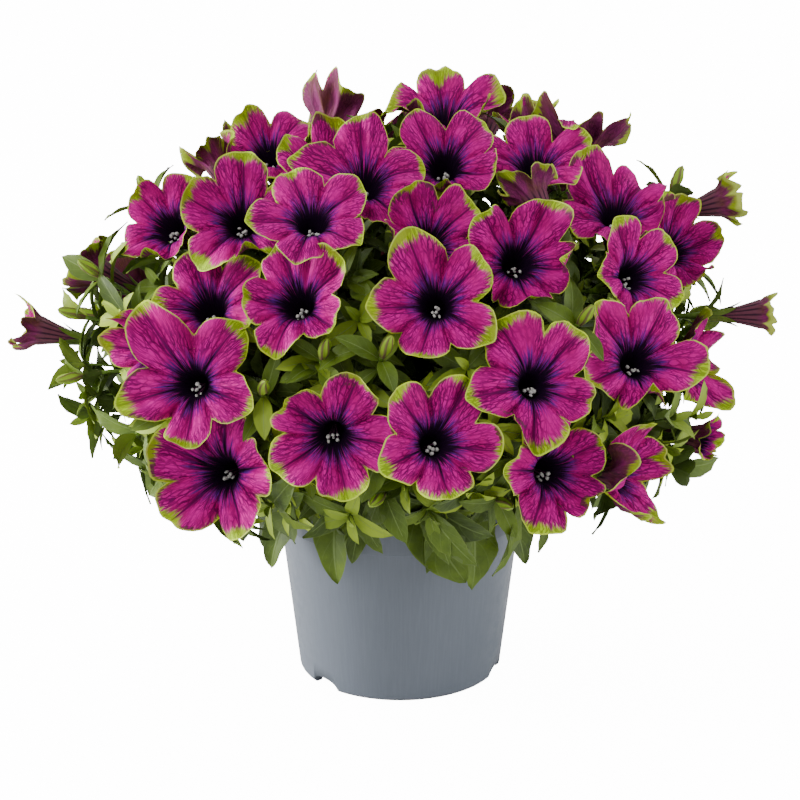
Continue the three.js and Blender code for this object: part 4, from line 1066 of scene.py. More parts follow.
def petalBackMaterial():
    c = backColours
    material, graph, inputs = newMaterial("petal back")
    place = petalInputs(graph)
    pattern = useGroup(graph, petalGroup, place)
    spread = graph.noise(graph.attribute("place").outputs["Vector"], 1.8, 3.0)
    colour = graph.mix(graph.smooth(spread, 0.35, 0.65), c["brown"], c["mauve"])
    colour = graph.mix(graph.math("MULTIPLY", pattern["Veins"], 0.6), colour, c["vein"])
    colour = graph.mix(pattern["Margin"], colour, c["green"])
    colour = graph.mix(pattern["Rim"], colour, c["pale"])
    angle = graph.math("ARCTAN2", place["Sine"], place["Cosine"])
    stripe = graph.math("ABSOLUTE", graph.math("SINE", graph.math("MULTIPLY", angle, c["stripes"])))
    striped = graph.mix(graph.smooth(stripe, 0.3, 0.75, 1.0, 0.0), c["tube"], c["stripe"])
    colour = graph.mix(graph.smooth(place["Along"], -0.1, 0.12, 1.0, 0.0), colour, striped)
    graph.put(inputs["Base Color"], colour)
    setFinish(inputs, c)
    addBump(graph, inputs, pattern["Relief"], 0.5, 0.0006)
    return material


stamenColours = {"anther": (0.75, 0.74, 0.66, 1), "dusk": (0.36, 0.34, 0.36, 1),
                 "filament": (0.2, 0.05, 0.14, 1), "roughness": 0.8, "grain": 2200.0}


def stamenMaterial():
    c = stamenColours
    material, graph, inputs = newMaterial("stamen")
    own = graph.attribute("own").outputs["Fac"]
    grain = graph.noise(graph.make("TexCoord").outputs["Object"], c["grain"], 2.0)
    colour = graph.mix(graph.smooth(grain, 0.35, 0.65), c["dusk"], c["anther"])
    colour = graph.mix(graph.smooth(own, 1.2, 1.8), colour, c["filament"])
    graph.put(inputs["Base Color"], colour)
    inputs["Roughness"].default_value = c["roughness"]
    addBump(graph, inputs, grain, 0.5, 0.0002)
    return material


leafColours = {"dark": (0.036, 0.062, 0.008, 1), "mid": (0.08, 0.13, 0.011, 1),
               "light": (0.135, 0.21, 0.014, 1), "young": (0.36, 0.49, 0.035, 1), "rib": (0.2, 0.28, 0.08, 1),
               "under": (0.11, 0.155, 0.05, 1), "edge": (0.17, 0.24, 0.04, 1), "roughness": 0.55,
               "specular": 0.25, "sideVeins": 5.0, "slant": 1.6, "youngFrom": 0.75, "youngSpan": 0.15,
               "blotch": 90.0, "grain": 420.0}


def leafMaterial():
    c = leafColours
    material, graph, inputs = newMaterial("leaf")
    place = graph.parts(graph.attribute("place").outputs["Vector"])
    own = graph.attribute("own").outputs["Fac"]
    g = graph.math
    across = g("ABSOLUTE", place[0])
    space = graph.make("TexCoord").outputs["Object"]
    blotch = graph.noise(space, c["blotch"], 4.0, 0.6)
    tone = g("ADD", g("MULTIPLY", blotch, 0.7), g("MULTIPLY", own, 0.45))
    colour = graph.mix(graph.smooth(tone, 0.25, 0.55), c["dark"], c["mid"])
    colour = graph.mix(graph.smooth(tone, 0.5, 0.8, 0.0, 0.9), colour, c["light"])
    colour = graph.mix(graph.smooth(own, c["youngFrom"], c["youngFrom"] + c["youngSpan"]), colour, c["young"])
    vein = g("SUBTRACT", g("MULTIPLY", place[1], c["sideVeins"]), g("MULTIPLY", across, c["slant"]))
    vein = g("ABSOLUTE", g("SUBTRACT", g("FRACT", g("ADD", vein, g("MULTIPLY", blotch, 0.5))), 0.5))
    veinLine = graph.smooth(vein, 0.01, 0.07, 0.22, 0.0)
    rib = graph.smooth(across, 0.02, 0.08, 0.7, 0.0)
    lines = g("MAXIMUM", rib, veinLine)
    colour = graph.mix(g("MULTIPLY", lines, 0.8), colour, c["rib"])
    colour = graph.mix(graph.smooth(across, 0.92, 1.0, 0.0, 0.6), colour, c["edge"])
    colour = graph.mix(g("MULTIPLY", place[2], 0.55), colour, c["under"])
    graph.put(inputs["Base Color"], colour)
    setFinish(inputs, c)
    grain = graph.noise(space, c["grain"], 3.0, 0.6)
    relief = g("ADD", g("MULTIPLY", lines, -0.6), g("MULTIPLY", grain, 0.8))
    addBump(graph, inputs, relief, 0.5, 0.0005)
    return material


stemColours = {"green": (0.15, 0.26, 0.03, 1), "dark": (0.07, 0.13, 0.015, 1), "roughness": 0.6,
               "specular": 0.25, "streak": 260.0, "grain": 1500.0}


def stemMaterial():
    c = stemColours
    material, graph, inputs = newMaterial("stem")
    space = graph.make("TexCoord").outputs["Object"]
    streak = graph.noise(space, c["streak"], 4.0, 0.65)
    colour = graph.mix(graph.smooth(streak, 0.35, 0.65), c["dark"], c["green"])
    graph.put(inputs["Base Color"], colour)
    setFinish(inputs, c)
    addBump(graph, inputs, graph.noise(space, c["grain"], 2.0), 0.5, 0.0003)
    return material


budColours = {"lime": (0.3, 0.48, 0.03, 1), "dark": (0.14, 0.04, 0.06, 1), "roughness": 0.6, "specular": 0.25,
              "folds": 5.0, "twist": 0.8}


def budMaterial():
    c = budColours
    material, graph, inputs = newMaterial("bud")
    place = graph.parts(graph.attribute("place").outputs["Vector"])
    g = graph.math
    around = g("ADD", g("MULTIPLY", place[0], c["folds"]), g("MULTIPLY", place[1], c["twist"]))
    fold = g("ABSOLUTE", g("SUBTRACT", g("FRACT", around), 0.5))
    colour = graph.mix(graph.smooth(fold, 0.12, 0.3, 0.75, 0.0), c["lime"], c["dark"])
    colour = graph.mix(graph.smooth(place[1], 0.1, 0.45, 0.7, 0.0), colour, c["dark"])
    graph.put(inputs["Base Color"], colour)
    setFinish(inputs, c)
    addBump(graph, inputs, g("MULTIPLY", fold, 2.0), 0.6, 0.0008)
    return material


potColours = {"base": (0.125, 0.145, 0.178, 1), "light": (0.135, 0.156, 0.19, 1), "roughness": 0.36,
              "polished": 0.05, "scuffed": 0.12, "streak": 6.0, "scuff": 160.0, "grain": 2600.0}


def potMaterial():
    c = potColours
    material, graph, inputs = newMaterial("pot plastic")
    space = graph.make("TexCoord").outputs["Object"]
    parts = graph.parts(space)
    g = graph.math
    angle = g("ARCTAN2", parts[1], parts[0])
    around = graph.vector(g("MULTIPLY", g("COSINE", angle), 9.0), g("MULTIPLY", g("SINE", angle), 9.0),
                          g("MULTIPLY", parts[2], 9.0))
    streak = graph.noise(around, c["streak"], 4.0, 0.6)
    colour = graph.mix(graph.smooth(streak, 0.35, 0.7), c["base"], c["light"])
    graph.put(inputs["Base Color"], colour)
    scuff = graph.noise(space, c["scuff"], 5.0, 0.65)
    low, high = c["roughness"] - c["polished"], c["roughness"] + c["scuffed"]
    graph.put(inputs["Roughness"], graph.smooth(scuff, 0.3, 0.75, low, high))
    relief = g("ADD", g("MULTIPLY", streak, 0.3), g("MULTIPLY", graph.noise(space, c["grain"], 2.0), 0.35))
    addBump(graph, inputs, relief, 0.15, 0.0002)
    return material


soilColours = {"dark": (0.012, 0.007, 0.004, 1), "mid": (0.045, 0.025, 0.014, 1),
               "fibre": (0.12, 0.075, 0.045, 1), "roughness": 0.95, "grain": 330.0, "fibres": 700.0}


def soilMaterial():
    c = soilColours
    material, graph, inputs = newMaterial("peat soil")
    space = graph.make("TexCoord").outputs["Object"]
    grain = graph.noise(space, c["grain"], 6.0, 0.7)
    colour = graph.mix(graph.smooth(grain, 0.35, 0.62), c["dark"], c["mid"])
    fibres = graph.smooth(graph.noise(space, c["fibres"], 3.0), 0.62, 0.72, 0.0, 0.8)
    colour = graph.mix(fibres, colour, c["fibre"])
    graph.put(inputs["Base Color"], colour)
    inputs["Roughness"].default_value = c["roughness"]
    addBump(graph, inputs, grain, 1.0, 0.0015)
    return material


petalGroup = petalPatternGroup()
petalFace = petalFaceMaterial()
petalBack = petalBackMaterial()
stamenPale = stamenMaterial()
leafGreen = leafMaterial()
stemGreen = stemMaterial()
budGreen = budMaterial()
potPlastic = potMaterial()
peat = soilMaterial()
print("materials are made")


# Stem of the plant: its smooth branches, stalks, leaves, calyxes and buds make one piece
calyx = {"length": 13.5, "width": 3.4, "gap": 0.35, "clear": 0.25, "flare": 1.6, "thickness": 0.35,
         "start": 0.8, "rows": 9, "columns": 5}
fill = {"perStalk": 5, "perBranch": 14, "tries": 12, "shortest": 17, "longest": 31, "slimmest": 0.3,
        "broadest": 0.46, "apart": 4.2, "branchStart": 0.15, "branchSizes": (28, 42)}
mound = {"middle": 150, "side": 156, "front": 134, "back": 142, "top": 112, "bottom": 62, "heart": 120}
shoot = {"count": 254, "lowest": -52, "highest": 88, "tries": 16, "nearest": 0.66, "furthest": 1.0,
         "clear": 2.2, "thickness": 0.75, "leaves": 7, "leafStart": 0.35, "sizes": (17, 31),
         "lowSizes": (26, 40), "low": -0.3, "rosette": 6, "carrier": 0.6, "goldenAngle": 137.508, "sway": 24}
middleShare = 0.6  # how far along a leaf its middle is taken


def branchRadius(t):
    return stem["thickness"] * (0.98 - 0.22 * t)


def shootRadius(t):
    return shoot["thickness"] * (1.1 - 0.4 * t)


def nearestOn(points, spot, count=24):
    samples = [bezier(points, i / count) for i in range(count + 1)]
    return min(samples, key=lambda p: (p - spot).length)


def addCalyx(sheets, placed):
    shape = placed["shape"]
    total = shape["floor"] - shape["foot"]
    for k in range(lobes):
        draw = randomStream(seedOf("sepal", placed["index"], k))
        a = math.radians(shape["roll"] + lobeAngle * k + halfLobe)
        length = calyx["length"] * (0.85 + 0.3 * draw())
        t = np.linspace(0, 1, calyx["rows"])
        z = shape["foot"] - calyx["start"] + length * t
        r = tubeRadius((z - shape["foot"]) / total) + calyx["gap"] + calyx["clear"] + calyx["flare"] * t ** 3
        half = calyx["width"] / 2 * np.sin(np.pi * np.clip(t * 0.8 + 0.2, 0, 1) ** 0.9) ** 0.7
        half[-1] = 0.12
        s = np.linspace(-1, 1, calyx["columns"])
        outward = np.array(Vector((math.cos(a), math.sin(a), 0)))
        across = np.array((-math.sin(a), math.cos(a), 0))
        centre = outward[None, :] * r[:, None] + np.array((0, 0, 1))[None, :] * z[:, None]
        top = centre[:, None, :] + across * (s[None, :] * half[:, None])[..., None]
        top = top - outward * (np.abs(s)[None, :] ** 2 * half[:, None] * 0.3)[..., None]
        under = top - outward * calyx["thickness"]
        faces = [placedPoints(placed, face.reshape(-1, 3)).reshape(top.shape) for face in (top, under)]
        addBothFaces(sheets, *faces, s, t, 0.3 + 0.4 * draw(), flip=False)


def addBud(sheets, root, along):
    t = np.linspace(0, 1, bud["rows"])
    right, up = sideways(along)
    a = np.arange(bud["sides"]) * 2 * math.pi / bud["sides"]
    radius = bud["radius"] * (0.28 + 0.75 * np.sin(np.pi * np.clip(t * 0.82 + 0.08, 0, 1)) ** 1.3)
    radius[-1] = 0.1
    turned = a[None, :] + bud["twist"] * t[:, None]
    fold = 1 + bud["fold"] * np.cos(lobes * turned) * np.sin(np.pi * t)[:, None]
    spread = radius[:, None] * fold
    centre = np.array(root)[None, :] + np.outer(t * bud["length"], np.array(along))
    ring = np.cos(a)[None, :, None] * np.array(right) + np.sin(a)[None, :, None] * np.array(up)
    points = centre[:, None, :] + ring * spread[..., None]
    parts = (a / (2 * math.pi), t[:, None], np.zeros(spread.shape))
    uv = np.stack([np.broadcast_to(p, spread.shape) for p in parts], axis=-1)
    faces = gridFaces(bud["rows"], bud["sides"], closed=True, flip=True)
    sheets.add(points.reshape(-1, 3), faces, withOwn(uv, 0.5), 2)


# A stalk is slim, and widens at its end to what it carries
def stalkRadius(end):
    slim = stalk["thickness"] * stalk["slim"]

    def radius(t):
        return slim + (end - slim) * max(0.0, (t - stalk["widensAt"]) / (1 - stalk["widensAt"])) ** 1.6

    return radius


# Hairs: slim needles that stand all round a stalk or a shoot
hair = {"perStalk": 44, "perShoot": 8, "length": 1.3, "root": 0.11, "from": 0.2, "to": 0.96, "sunk": 0.8}


def addHairs(sheets, points, radiusAt, count, seed):
    letters = sum(ord(letter) for letter in str(seed))
    draw = randomStream(seedOf("hairs", letters, int(100 * abs(points[-1][0]))))
    for index in range(count):
        t = hair["from"] + (hair["to"] - hair["from"]) * (index + draw()) / count
        along = tangentOf(points, t)
        right, up = sideways(along)
        turn = 2 * math.pi * draw()
        outward = right * math.cos(turn) + up * math.sin(turn)
        beside = along.cross(outward) * hair["root"]
        middle = bezier(points, t) + outward * radiusAt(t) * hair["sunk"]
        tip = middle + (outward + along * (draw() - 0.4) * 0.6) * hair["length"] * (0.6 + 0.6 * draw())
        foot = [middle + beside, middle + along * hair["root"] * 1.6, middle - beside]
        corners = [tuple(p) for p in foot + [tip]]
        faces = [[0, 1, 3, 3], [1, 2, 3, 3], [2, 0, 3, 3], [0, 2, 1, 1]]
        sheets.add(corners, faces, withOwn(np.zeros((4, 3)) + (0.5, t, 0.5), 0.9), 1)


def addStalk(sheets, found, end):
    points = list(found["points"])
    points[0] = nearestOn(found["branch"]["points"], points[0])
    addTube(sheets, points, stalkRadius(end), 14, 8, 1, 0.5)
    addHairs(sheets, points, stalkRadius(end), hair["perStalk"], found["branch"]["owner"])
    return points


# A coarse strip along a blade, which tells whether it crosses any bloom
def stripOf(blade):
    corners = []
    for t in (0.12, 0.4, 0.7, 1.0):
        middle = spineAt(blade, t)
        half = blade["width"] * (0.45 if t < 1 else 0.02)
        corners += [middle - blade["across"] * half, middle + blade["across"] * half]
    return [tuple(c) for c in corners], [(0, 1, 3, 2), (2, 3, 5, 4), (4, 5, 7, 6)]


# Everything that leaves and shoots keep clear of: the pot, and each bloom with its throat closed
def obstacleTree():
    corners = [tuple(v.co / mm) for v in frame["nodes"]["pot"].data.vertices]
    faces = [tuple(p.vertices) for p in frame["nodes"]["pot"].data.polygons]
    for placed in placedBlooms:
        points, (rows, columns) = placed["sample"]
        start = len(corners)
        corners += points.tolist() + [tuple(points[:columns].mean(axis=0))]
        faces += (gridFaces(rows, columns, closed=True) + start).tolist()
        faces += [(start + k, start + (k + 1) % columns, start + rows * columns) for k in range(columns)]
        foot, top = placed["base"], placed["base"] + placed["facing"] * funnel["tube"]
        start = len(corners)
        ring, sides = tubeGrid([foot, top], lambda t: 2.4 + 4 * t, 1, 6)
        corners += ring
        faces += (sides + start).tolist()
    return BVHTree.FromPolygons(corners, faces)


# A leaf of the CAD part that a petal's wave would touch takes the first clear bend and lean of these
leafBends = ((0, 0), (0.35, 0), (-0.3, 0), (0.2, 0.25), (0.2, -0.25), (0.5, 0.3), (0.5, -0.3), (-0.3, 0.4))


def bentClear(blade):
    for bend, lean in leafBends:
        along = (blade["along"] + blade["across"] * lean).normalized()
        bent = blade["bend"] + bend
        option = bladeFrame(blade["root"], along, blade["normal"], blade["length"], blade["width"], bent)
        if not BVHTree.FromPolygons(*stripOf(option)).overlap(obstacles):
            return option
    return blade


def isFree(blade):
    strip = BVHTree.FromPolygons(*stripOf(blade))
    if strip.overlap(obstacles):
        return False
    middle = spineAt(blade, middleShare)
    return all((middle - other).length > fill["apart"] for other in leafMiddles)


# Leaves beside those of the CAD part, which fill the shade between the blooms and never cross one
def addFillLeaves(sheets, points, seed, count, start=0.3, sizes=None, broad=False):
    shortest, longest = sizes or (fill["shortest"], fill["longest"])
    for index in range(count):
        for k in range(fill["tries"]):
            draw = randomStream(seed + seedOf("fillLeaf", index, k))
            t = start + (0.97 - start) * (index + draw()) / count
            spot = bezier(points, t)
            along = tangentOf(points, t)
            right, up = sideways(along)
            turn, spread = 2 * math.pi * draw(), math.radians(30 + 45 * draw())
            outward = right * math.cos(turn) + up * math.sin(turn)
            aim = along * math.cos(spread) + outward * math.sin(spread)
            face = along * math.sin(spread) - outward * math.cos(spread)
            length = shortest + (longest - shortest) * draw()
            width = length * (fill["slimmest"] + (fill["broadest"] - fill["slimmest"]) * draw())
            blade = bladeFrame(spot, aim, face, length, width, 0.5 + 0.5 * draw())
            if isFree(blade):
                leafMiddles.append(spineAt(blade, middleShare))
                addLeaf(sheets, blade, broad, 0.74 * ((seed * 0.37 + index * 0.61) % 1), rows=7, half=2)
                break


# Rosette: the small bright leaves in which a young shoot ends
rosette = {"sway": 25, "first": 12, "step": 9, "spread": 14, "length": 9, "longer": 2.6, "uneven": 3,
           "apart": 0.8, "slim": 0.36, "bend": 0.6, "bright": 0.68, "brighter": 0.26}


def addRosette(sheets, points, seed):
    facing = tangentOf(points, 1)
    right, up = sideways(facing)
    bright = rosette["bright"] + rosette["brighter"] * randomStream(seed + seedOf("rosetteTone"))()
    for index in range(shoot["rosette"]):
        draw = randomStream(seed + seedOf("rosetteLeaf", index))
        turn = math.radians(whorl["spiral"] * index + rosette["sway"] * draw())
        spread = math.radians(rosette["first"] + rosette["step"] * index + rosette["spread"] * draw())
        outward = right * math.cos(turn) + up * math.sin(turn)
        aim = facing * math.cos(spread) + outward * math.sin(spread)
        face = facing * math.sin(spread) - outward * math.cos(spread)
        length = rosette["length"] + rosette["longer"] * index + rosette["uneven"] * draw()
        root = points[-1] - facing * rosette["apart"] * index
        bend = rosette["bend"] + 0.5 * draw()
        blade = bladeFrame(root, aim, face, length, length * rosette["slim"], bend)
        if not BVHTree.FromPolygons(*stripOf(blade)).overlap(obstacles):
            addLeaf(sheets, blade, False, bright + 0.05 * draw(), rows=6, half=2)


# Whether a shoot can grow along a curve, its start aside, and stay clear of blooms and pot
def pathIsClear(points):
    spots = [bezier(points, 0.2 + 0.8 * k / 12) for k in range(13)]
    for first, second in zip(spots, spots[1:]):
        step = second - first
        if obstacles.ray_cast(first, step.normalized(), step.length)[0] is not None:
            return False
    return all(obstacles.find_nearest(spot)[3] > shoot["clear"] for spot in spots[3:])


# Places from which a side shoot can grow: its point, its direction and the stem that it belongs to
def shootCarriers(piles, ways):
    carriers = []
    for branch in branches:
        points, sheets = branch["points"], piles[branch["owner"]]
        carriers += [(bezier(points, t / 8), tangentOf(points, t / 8), sheets) for t in range(3, 9)]
    for sheets, points in ways:
        carriers += [(bezier(points, t / 10), tangentOf(points, t / 10), sheets) for t in (2, 4, 6)]
    tree = KDTree(len(carriers))
    for i, carrier in enumerate(carriers):
        tree.insert(carrier[0], i)
    tree.balance()
    return carriers, tree


# One try at a shoot: a curve from the nearest carrier to a place in the mound's outer layer
def shootOption(number, k, carriers, tree):
    low, high = math.sin(math.radians(shoot["lowest"])), math.sin(math.radians(shoot["highest"]))
    draw = randomStream(seedOf("shoot", number, k))
    rise = low + (high - low) * (number + draw()) / shoot["count"]
    level = math.sqrt(max(0, 1 - rise * rise))
    azimuth = math.radians(shoot["goldenAngle"] * number + shoot["sway"] * (draw() - 0.5))
    out = shoot["nearest"] + (shoot["furthest"] - shoot["nearest"]) * draw() ** 0.6
    depth = mound["front"] if math.sin(azimuth) < 0 else mound["back"]
    tall = mound["top"] if rise > 0 else mound["bottom"]
    tip = Vector((mound["side"] * level * math.cos(azimuth) * out,
                  depth * level * math.sin(azimuth) * out,
                  mound["middle"] + tall * rise * out))
    inner = Vector((0, 0, mound["heart"])).lerp(tip, shoot["carrier"])
    start, tangent, sheets = carriers[tree.find(inner)[1]]
    away = (tip - start).normalized()
    length = (tip - start).length
    sway = Vector((draw() - 0.5, draw() - 0.5, draw() - 0.2)) * length * 0.25
    return sheets, rise, [start, start + tangent * length * 0.3, tip - away * length * 0.35 + sway, tip]


# Side shoots that spread evenly through the mound and end between its blooms
def addShoots(piles, ways):
    carriers, tree = shootCarriers(piles, ways)
    grown = 0
    for number in range(shoot["count"]):
        options = (shootOption(number, k, carriers, tree) for k in range(shoot["tries"]))
        found = next((option for option in options if pathIsClear(option[2])), None)
        if not found:
            continue
        grown += 1
        sheets, rise, points = found
        addTube(sheets, points, shootRadius, 8, 6, 1, 0.5)
        addHairs(sheets, points, shootRadius, hair["perShoot"], number)
        lowDown = rise < shoot["low"]
        sizes = shoot["lowSizes"] if lowDown else shoot["sizes"]
        seed = seedOf("shootLeaves", number)
        addFillLeaves(sheets, points, seed, shoot["leaves"], shoot["leafStart"], sizes, lowDown)
        addRosette(sheets, points, seedOf("rosette", number))
    print("shoots between:", grown)


def addTrunks(piles):
    for i in range(stem["count"]):
        foot, top = stemFoot(i), stemFoot(i)
        foot.z = soil["top"] - soil["holeDepth"] + 1
        top.z = stem["forkHeight"] + 1
        addTube(piles[f"leafy_stem_{i + 1}"], [foot, top], lambda t: stem["thickness"], 3, 10, 1, 0.5)
    for branch in branches:
        addTube(piles[branch["owner"]], branch["points"], branchRadius, 20, 10, 1, 0.5)


def addBloomStalks(piles, ways):
    for placed in placedBlooms:
        at = placed["base"] - placed["facing"] * stalk["gap"]
        found = findStalk(at, placed["facing"], funnel["foot"])
        sheets = piles[found["branch"]["owner"]]
        ways.append((sheets, addStalk(sheets, found, funnel["foot"])))
        addCalyx(sheets, placed)


# Leafy tips: a whorl of leaves round the end of a stalk, with its buds
def addTips(piles, ways):
    for tipIndex, row in enumerate(tips):
        found = findStalk(Vector(row[0]), direction(*row[1]), stalk["thickness"])
        owner = found["branch"]["owner"]
        sheets = piles[owner]
        points = addStalk(sheets, found, stalk["thickness"])
        ways.append((sheets, points))
        for index in range(row[3]):
            options = [whorlBlade(tipIndex, row, index, found["points"], k) for k in range(whorl["tries"])]
            blade = findBlade(options, stemTrees[owner])
            if blade:
                own = 0.3 + 0.6 * ((tipIndex * 0.71 + index * 0.37) % 1)
                blade = bentClear(blade)
                addLeaf(sheets, blade, False, own, nearestOn(points, blade["root"]))
                leafMiddles.append(spineAt(blade, middleShare))
        for index in range(row[4]):
            root, along = budFrame(row, index)
            if missBy(stemTrees[owner], [root + along * bud["length"]]) < matchTolerance:
                addBud(sheets, root, along)


def rimLeafIsBuilt(option):
    return missBy(stemTrees[option["branch"]["owner"]], [spineAt(option["blade"], 1)]) < matchTolerance


def addRimLeaves(piles):
    for number, row in enumerate(rimLeaves):
        options = [rimOption(row, k) for k in range(len(rimTurns) * rimStalk["starts"])]
        found = next((option for option in options if rimLeafIsBuilt(option)), None)
        if found:
            sheets = piles[found["branch"]["owner"]]
            points = list(found["points"])
            points[0] = nearestOn(found["branch"]["points"], points[0])
            addTube(sheets, points, lambda t: stalk["thickness"] * (1 - 0.2 * t), 14, 8, 1, 0.5)
            addLeaf(sheets, found["blade"], True, 0.62 * ((number * 0.47) % 1), rows=20, half=6)
            leafMiddles.append(spineAt(found["blade"], middleShare))


def addBranchLeaves(piles):
    for index, branch in enumerate(branches):
        options = [branchBlade(branch, index, k) for k in range(branchLeaf["tries"])]
        blade = findBlade(options, stemTrees[branch["owner"]])
        if blade:
            shift = nearestOn(branch["points"], blade["root"])
            addLeaf(piles[branch["owner"]], blade, True, 0.7 * ((index * 0.29) % 1), shift, rows=16, half=5)
            leafMiddles.append(spineAt(blade, middleShare))


def addStems():
    piles = {f"leafy_stem_{i + 1}": Sheets() for i in range(stem["count"])}
    ways = []
    addTrunks(piles)
    addBloomStalks(piles, ways)
    addTips(piles, ways)
    addRimLeaves(piles)
    addBranchLeaves(piles)
    print("leaves of the CAD part:", len(leafMiddles))
    before = len(leafMiddles)
    for number, (sheets, points) in enumerate(ways):
        addFillLeaves(sheets, points, seedOf("stalkLeaves", number), fill["perStalk"])
    for number, branch in enumerate(branches):
        sheets, seed = piles[branch["owner"]], seedOf("branchLeaves", number)
        addFillLeaves(sheets, branch["points"], seed, fill["perBranch"], fill["branchStart"],
                      fill["branchSizes"], True)
    addShoots(piles, ways)
    print("leaves between:", len(leafMiddles) - before)
    for name, sheets in piles.items():
        makePiece("petunia_" + name, sheets, [leafGreen, stemGreen, budGreen], (name,))


settled = []
for placed in placedBlooms:
    addBloom(placed, settled)
print("blooms are made")
obstacles = obstacleTree()
leafMiddles = []
addStems()


# Pot: a turned wall with soft corners, and the three notches cut into its foot
potGrid = {"sides": 180, "step": 9, "cornerSteps": 5}


# The corners give radius, height and how round they are
def potProfile():
    p = pot
    band = p["height"] - p["bandHeight"]
    ringInner = p["footRadius"] - p["ringWidth"]
    floorTop = p["floorGap"] + p["floorThickness"]
    corners = [(0, p["floorGap"], 0), (ringInner, p["floorGap"], 0.8), (ringInner, 0, 0.4),
               (p["footRadius"], 0, 0.5), (p["bottomRadius"] - 0.2, 1.4, 1.2), (p["neckRadius"], band, 0.5),
               (p["rimRadius"], band, 0.35), (p["rimRadius"], p["height"], 0.8),
               (p["rimRadius"] - p["wall"] - 1, p["height"], 0.7), (p["neckRadius"] - p["wall"], band, 1.5),
               (p["bottomRadius"] - p["wall"], floorTop, 1.5), (0, floorTop, 0)]
    points = []
    for i, (r, z, radius) in enumerate(corners):
        here = Vector((r, z))
        if radius == 0:
            points.append(here)
            continue
        before = Vector(corners[i - 1][:2])
        after = Vector(corners[i + 1][:2])
        first = here + (before - here).normalized() * min(radius, (before - here).length * 0.45)
        last = here + (after - here).normalized() * min(radius, (after - here).length * 0.45)
        steps = potGrid["cornerSteps"]
        points += [bezier([first, here, last], k / steps) for k in range(steps + 1)]
    rows = [points[0]]
    for p0, p1 in zip(points, points[1:]):
        steps = max(1, int((p1 - p0).length / potGrid["step"]))
        rows += [p0.lerp(p1, k / steps) for k in range(1, steps + 1)]
    return np.array([tuple(p) for p in rows])


def turnFacesOut(mesh, merge=0):
    work = bmesh.new()
    work.from_mesh(mesh)
    if merge:
        bmesh.ops.remove_doubles(work, verts=work.verts, dist=merge)
    bmesh.ops.recalc_face_normals(work, faces=work.faces)
    work.to_mesh(mesh)
    work.free()


def addPot():
    profile = potProfile()
    sides = potGrid["sides"]
    a = np.arange(sides) * 2 * math.pi / sides
    r, z = profile[:, 0][:, None], profile[:, 1][:, None]
    height = np.broadcast_to(z, (len(profile), sides))
    grid = np.stack([r * np.cos(a)[None, :], r * np.sin(a)[None, :], height], axis=-1)
    faces = gridFaces(len(profile), sides, closed=True, flip=True)
    sheets = Sheets()
    sheets.add(grid.reshape(-1, 3), faces, np.zeros((len(profile) * sides, 5)), 0)
    piece = makePiece("petunia_pot", sheets, [potPlastic], ("pot",))
    turnFacesOut(piece.data, merge=1e-6)
    for azimuth in notch["azimuths"]:
        cutNotch(piece, azimuth)


def cutNotch(piece, azimuth):
    half, high = notch["width"] / 2, notch["height"]
    low = high * notch["straight"]
    outline = [(-half, -1), (half, -1), (half, low)]
    rising = (half, low), (half * 0.8, high), (0, high)
    falling = (0, high), (-half * 0.8, high), (-half, low)
    for corners in (rising, falling):
        outline += [tuple(bezier([Vector(corner) for corner in corners], k / 8)) for k in range(1, 9)]
    out = direction(azimuth, 0)
    side = Vector((-out.y, out.x, 0))
    points = [out * reach + side * x + Vector((0, 0, z)) for reach in notch["reach"] for x, z in outline]
    count = len(outline)
    faces = [list(range(count)), list(range(2 * count - 1, count - 1, -1))]
    faces += [[k, count + k, count + (k + 1) % count, (k + 1) % count] for k in range(count)]
    mesh = bpy.data.meshes.new("cutter")
    mesh.from_pydata([tuple(p * mm) for p in points], [], faces)
    turnFacesOut(mesh)
    cutter = bpy.data.objects.new("cutter", mesh)
    bpy.context.scene.collection.objects.link(cutter)
    cut = piece.modifiers.new("cut", "BOOLEAN")
    cut.object = cutter
    cut.operation = "DIFFERENCE"
    cut.solver = "EXACT"
    bpy.context.view_layer.update()
    result = bpy.data.meshes.new_from_object(piece.evaluated_get(bpy.context.evaluated_depsgraph_get()))
    piece.modifiers.clear()
    old = piece.data
    piece.data = result
    bpy.data.meshes.remove(old)
    bpy.data.objects.remove(cutter)
    bpy.data.meshes.remove(mesh)


# Soil: a crumbly surface over a plain plug, whose side is a few rows that taper to its foot
soilForm = {"rings": 46, "sideRows": 6, "sides": 160, "waves": 40, "sunk": 1.2, "footRadius": 46.5,
            "footHeight": 6, "edgeFrom": 49, "edgeWidth": 6, "edgeFall": 1.5}


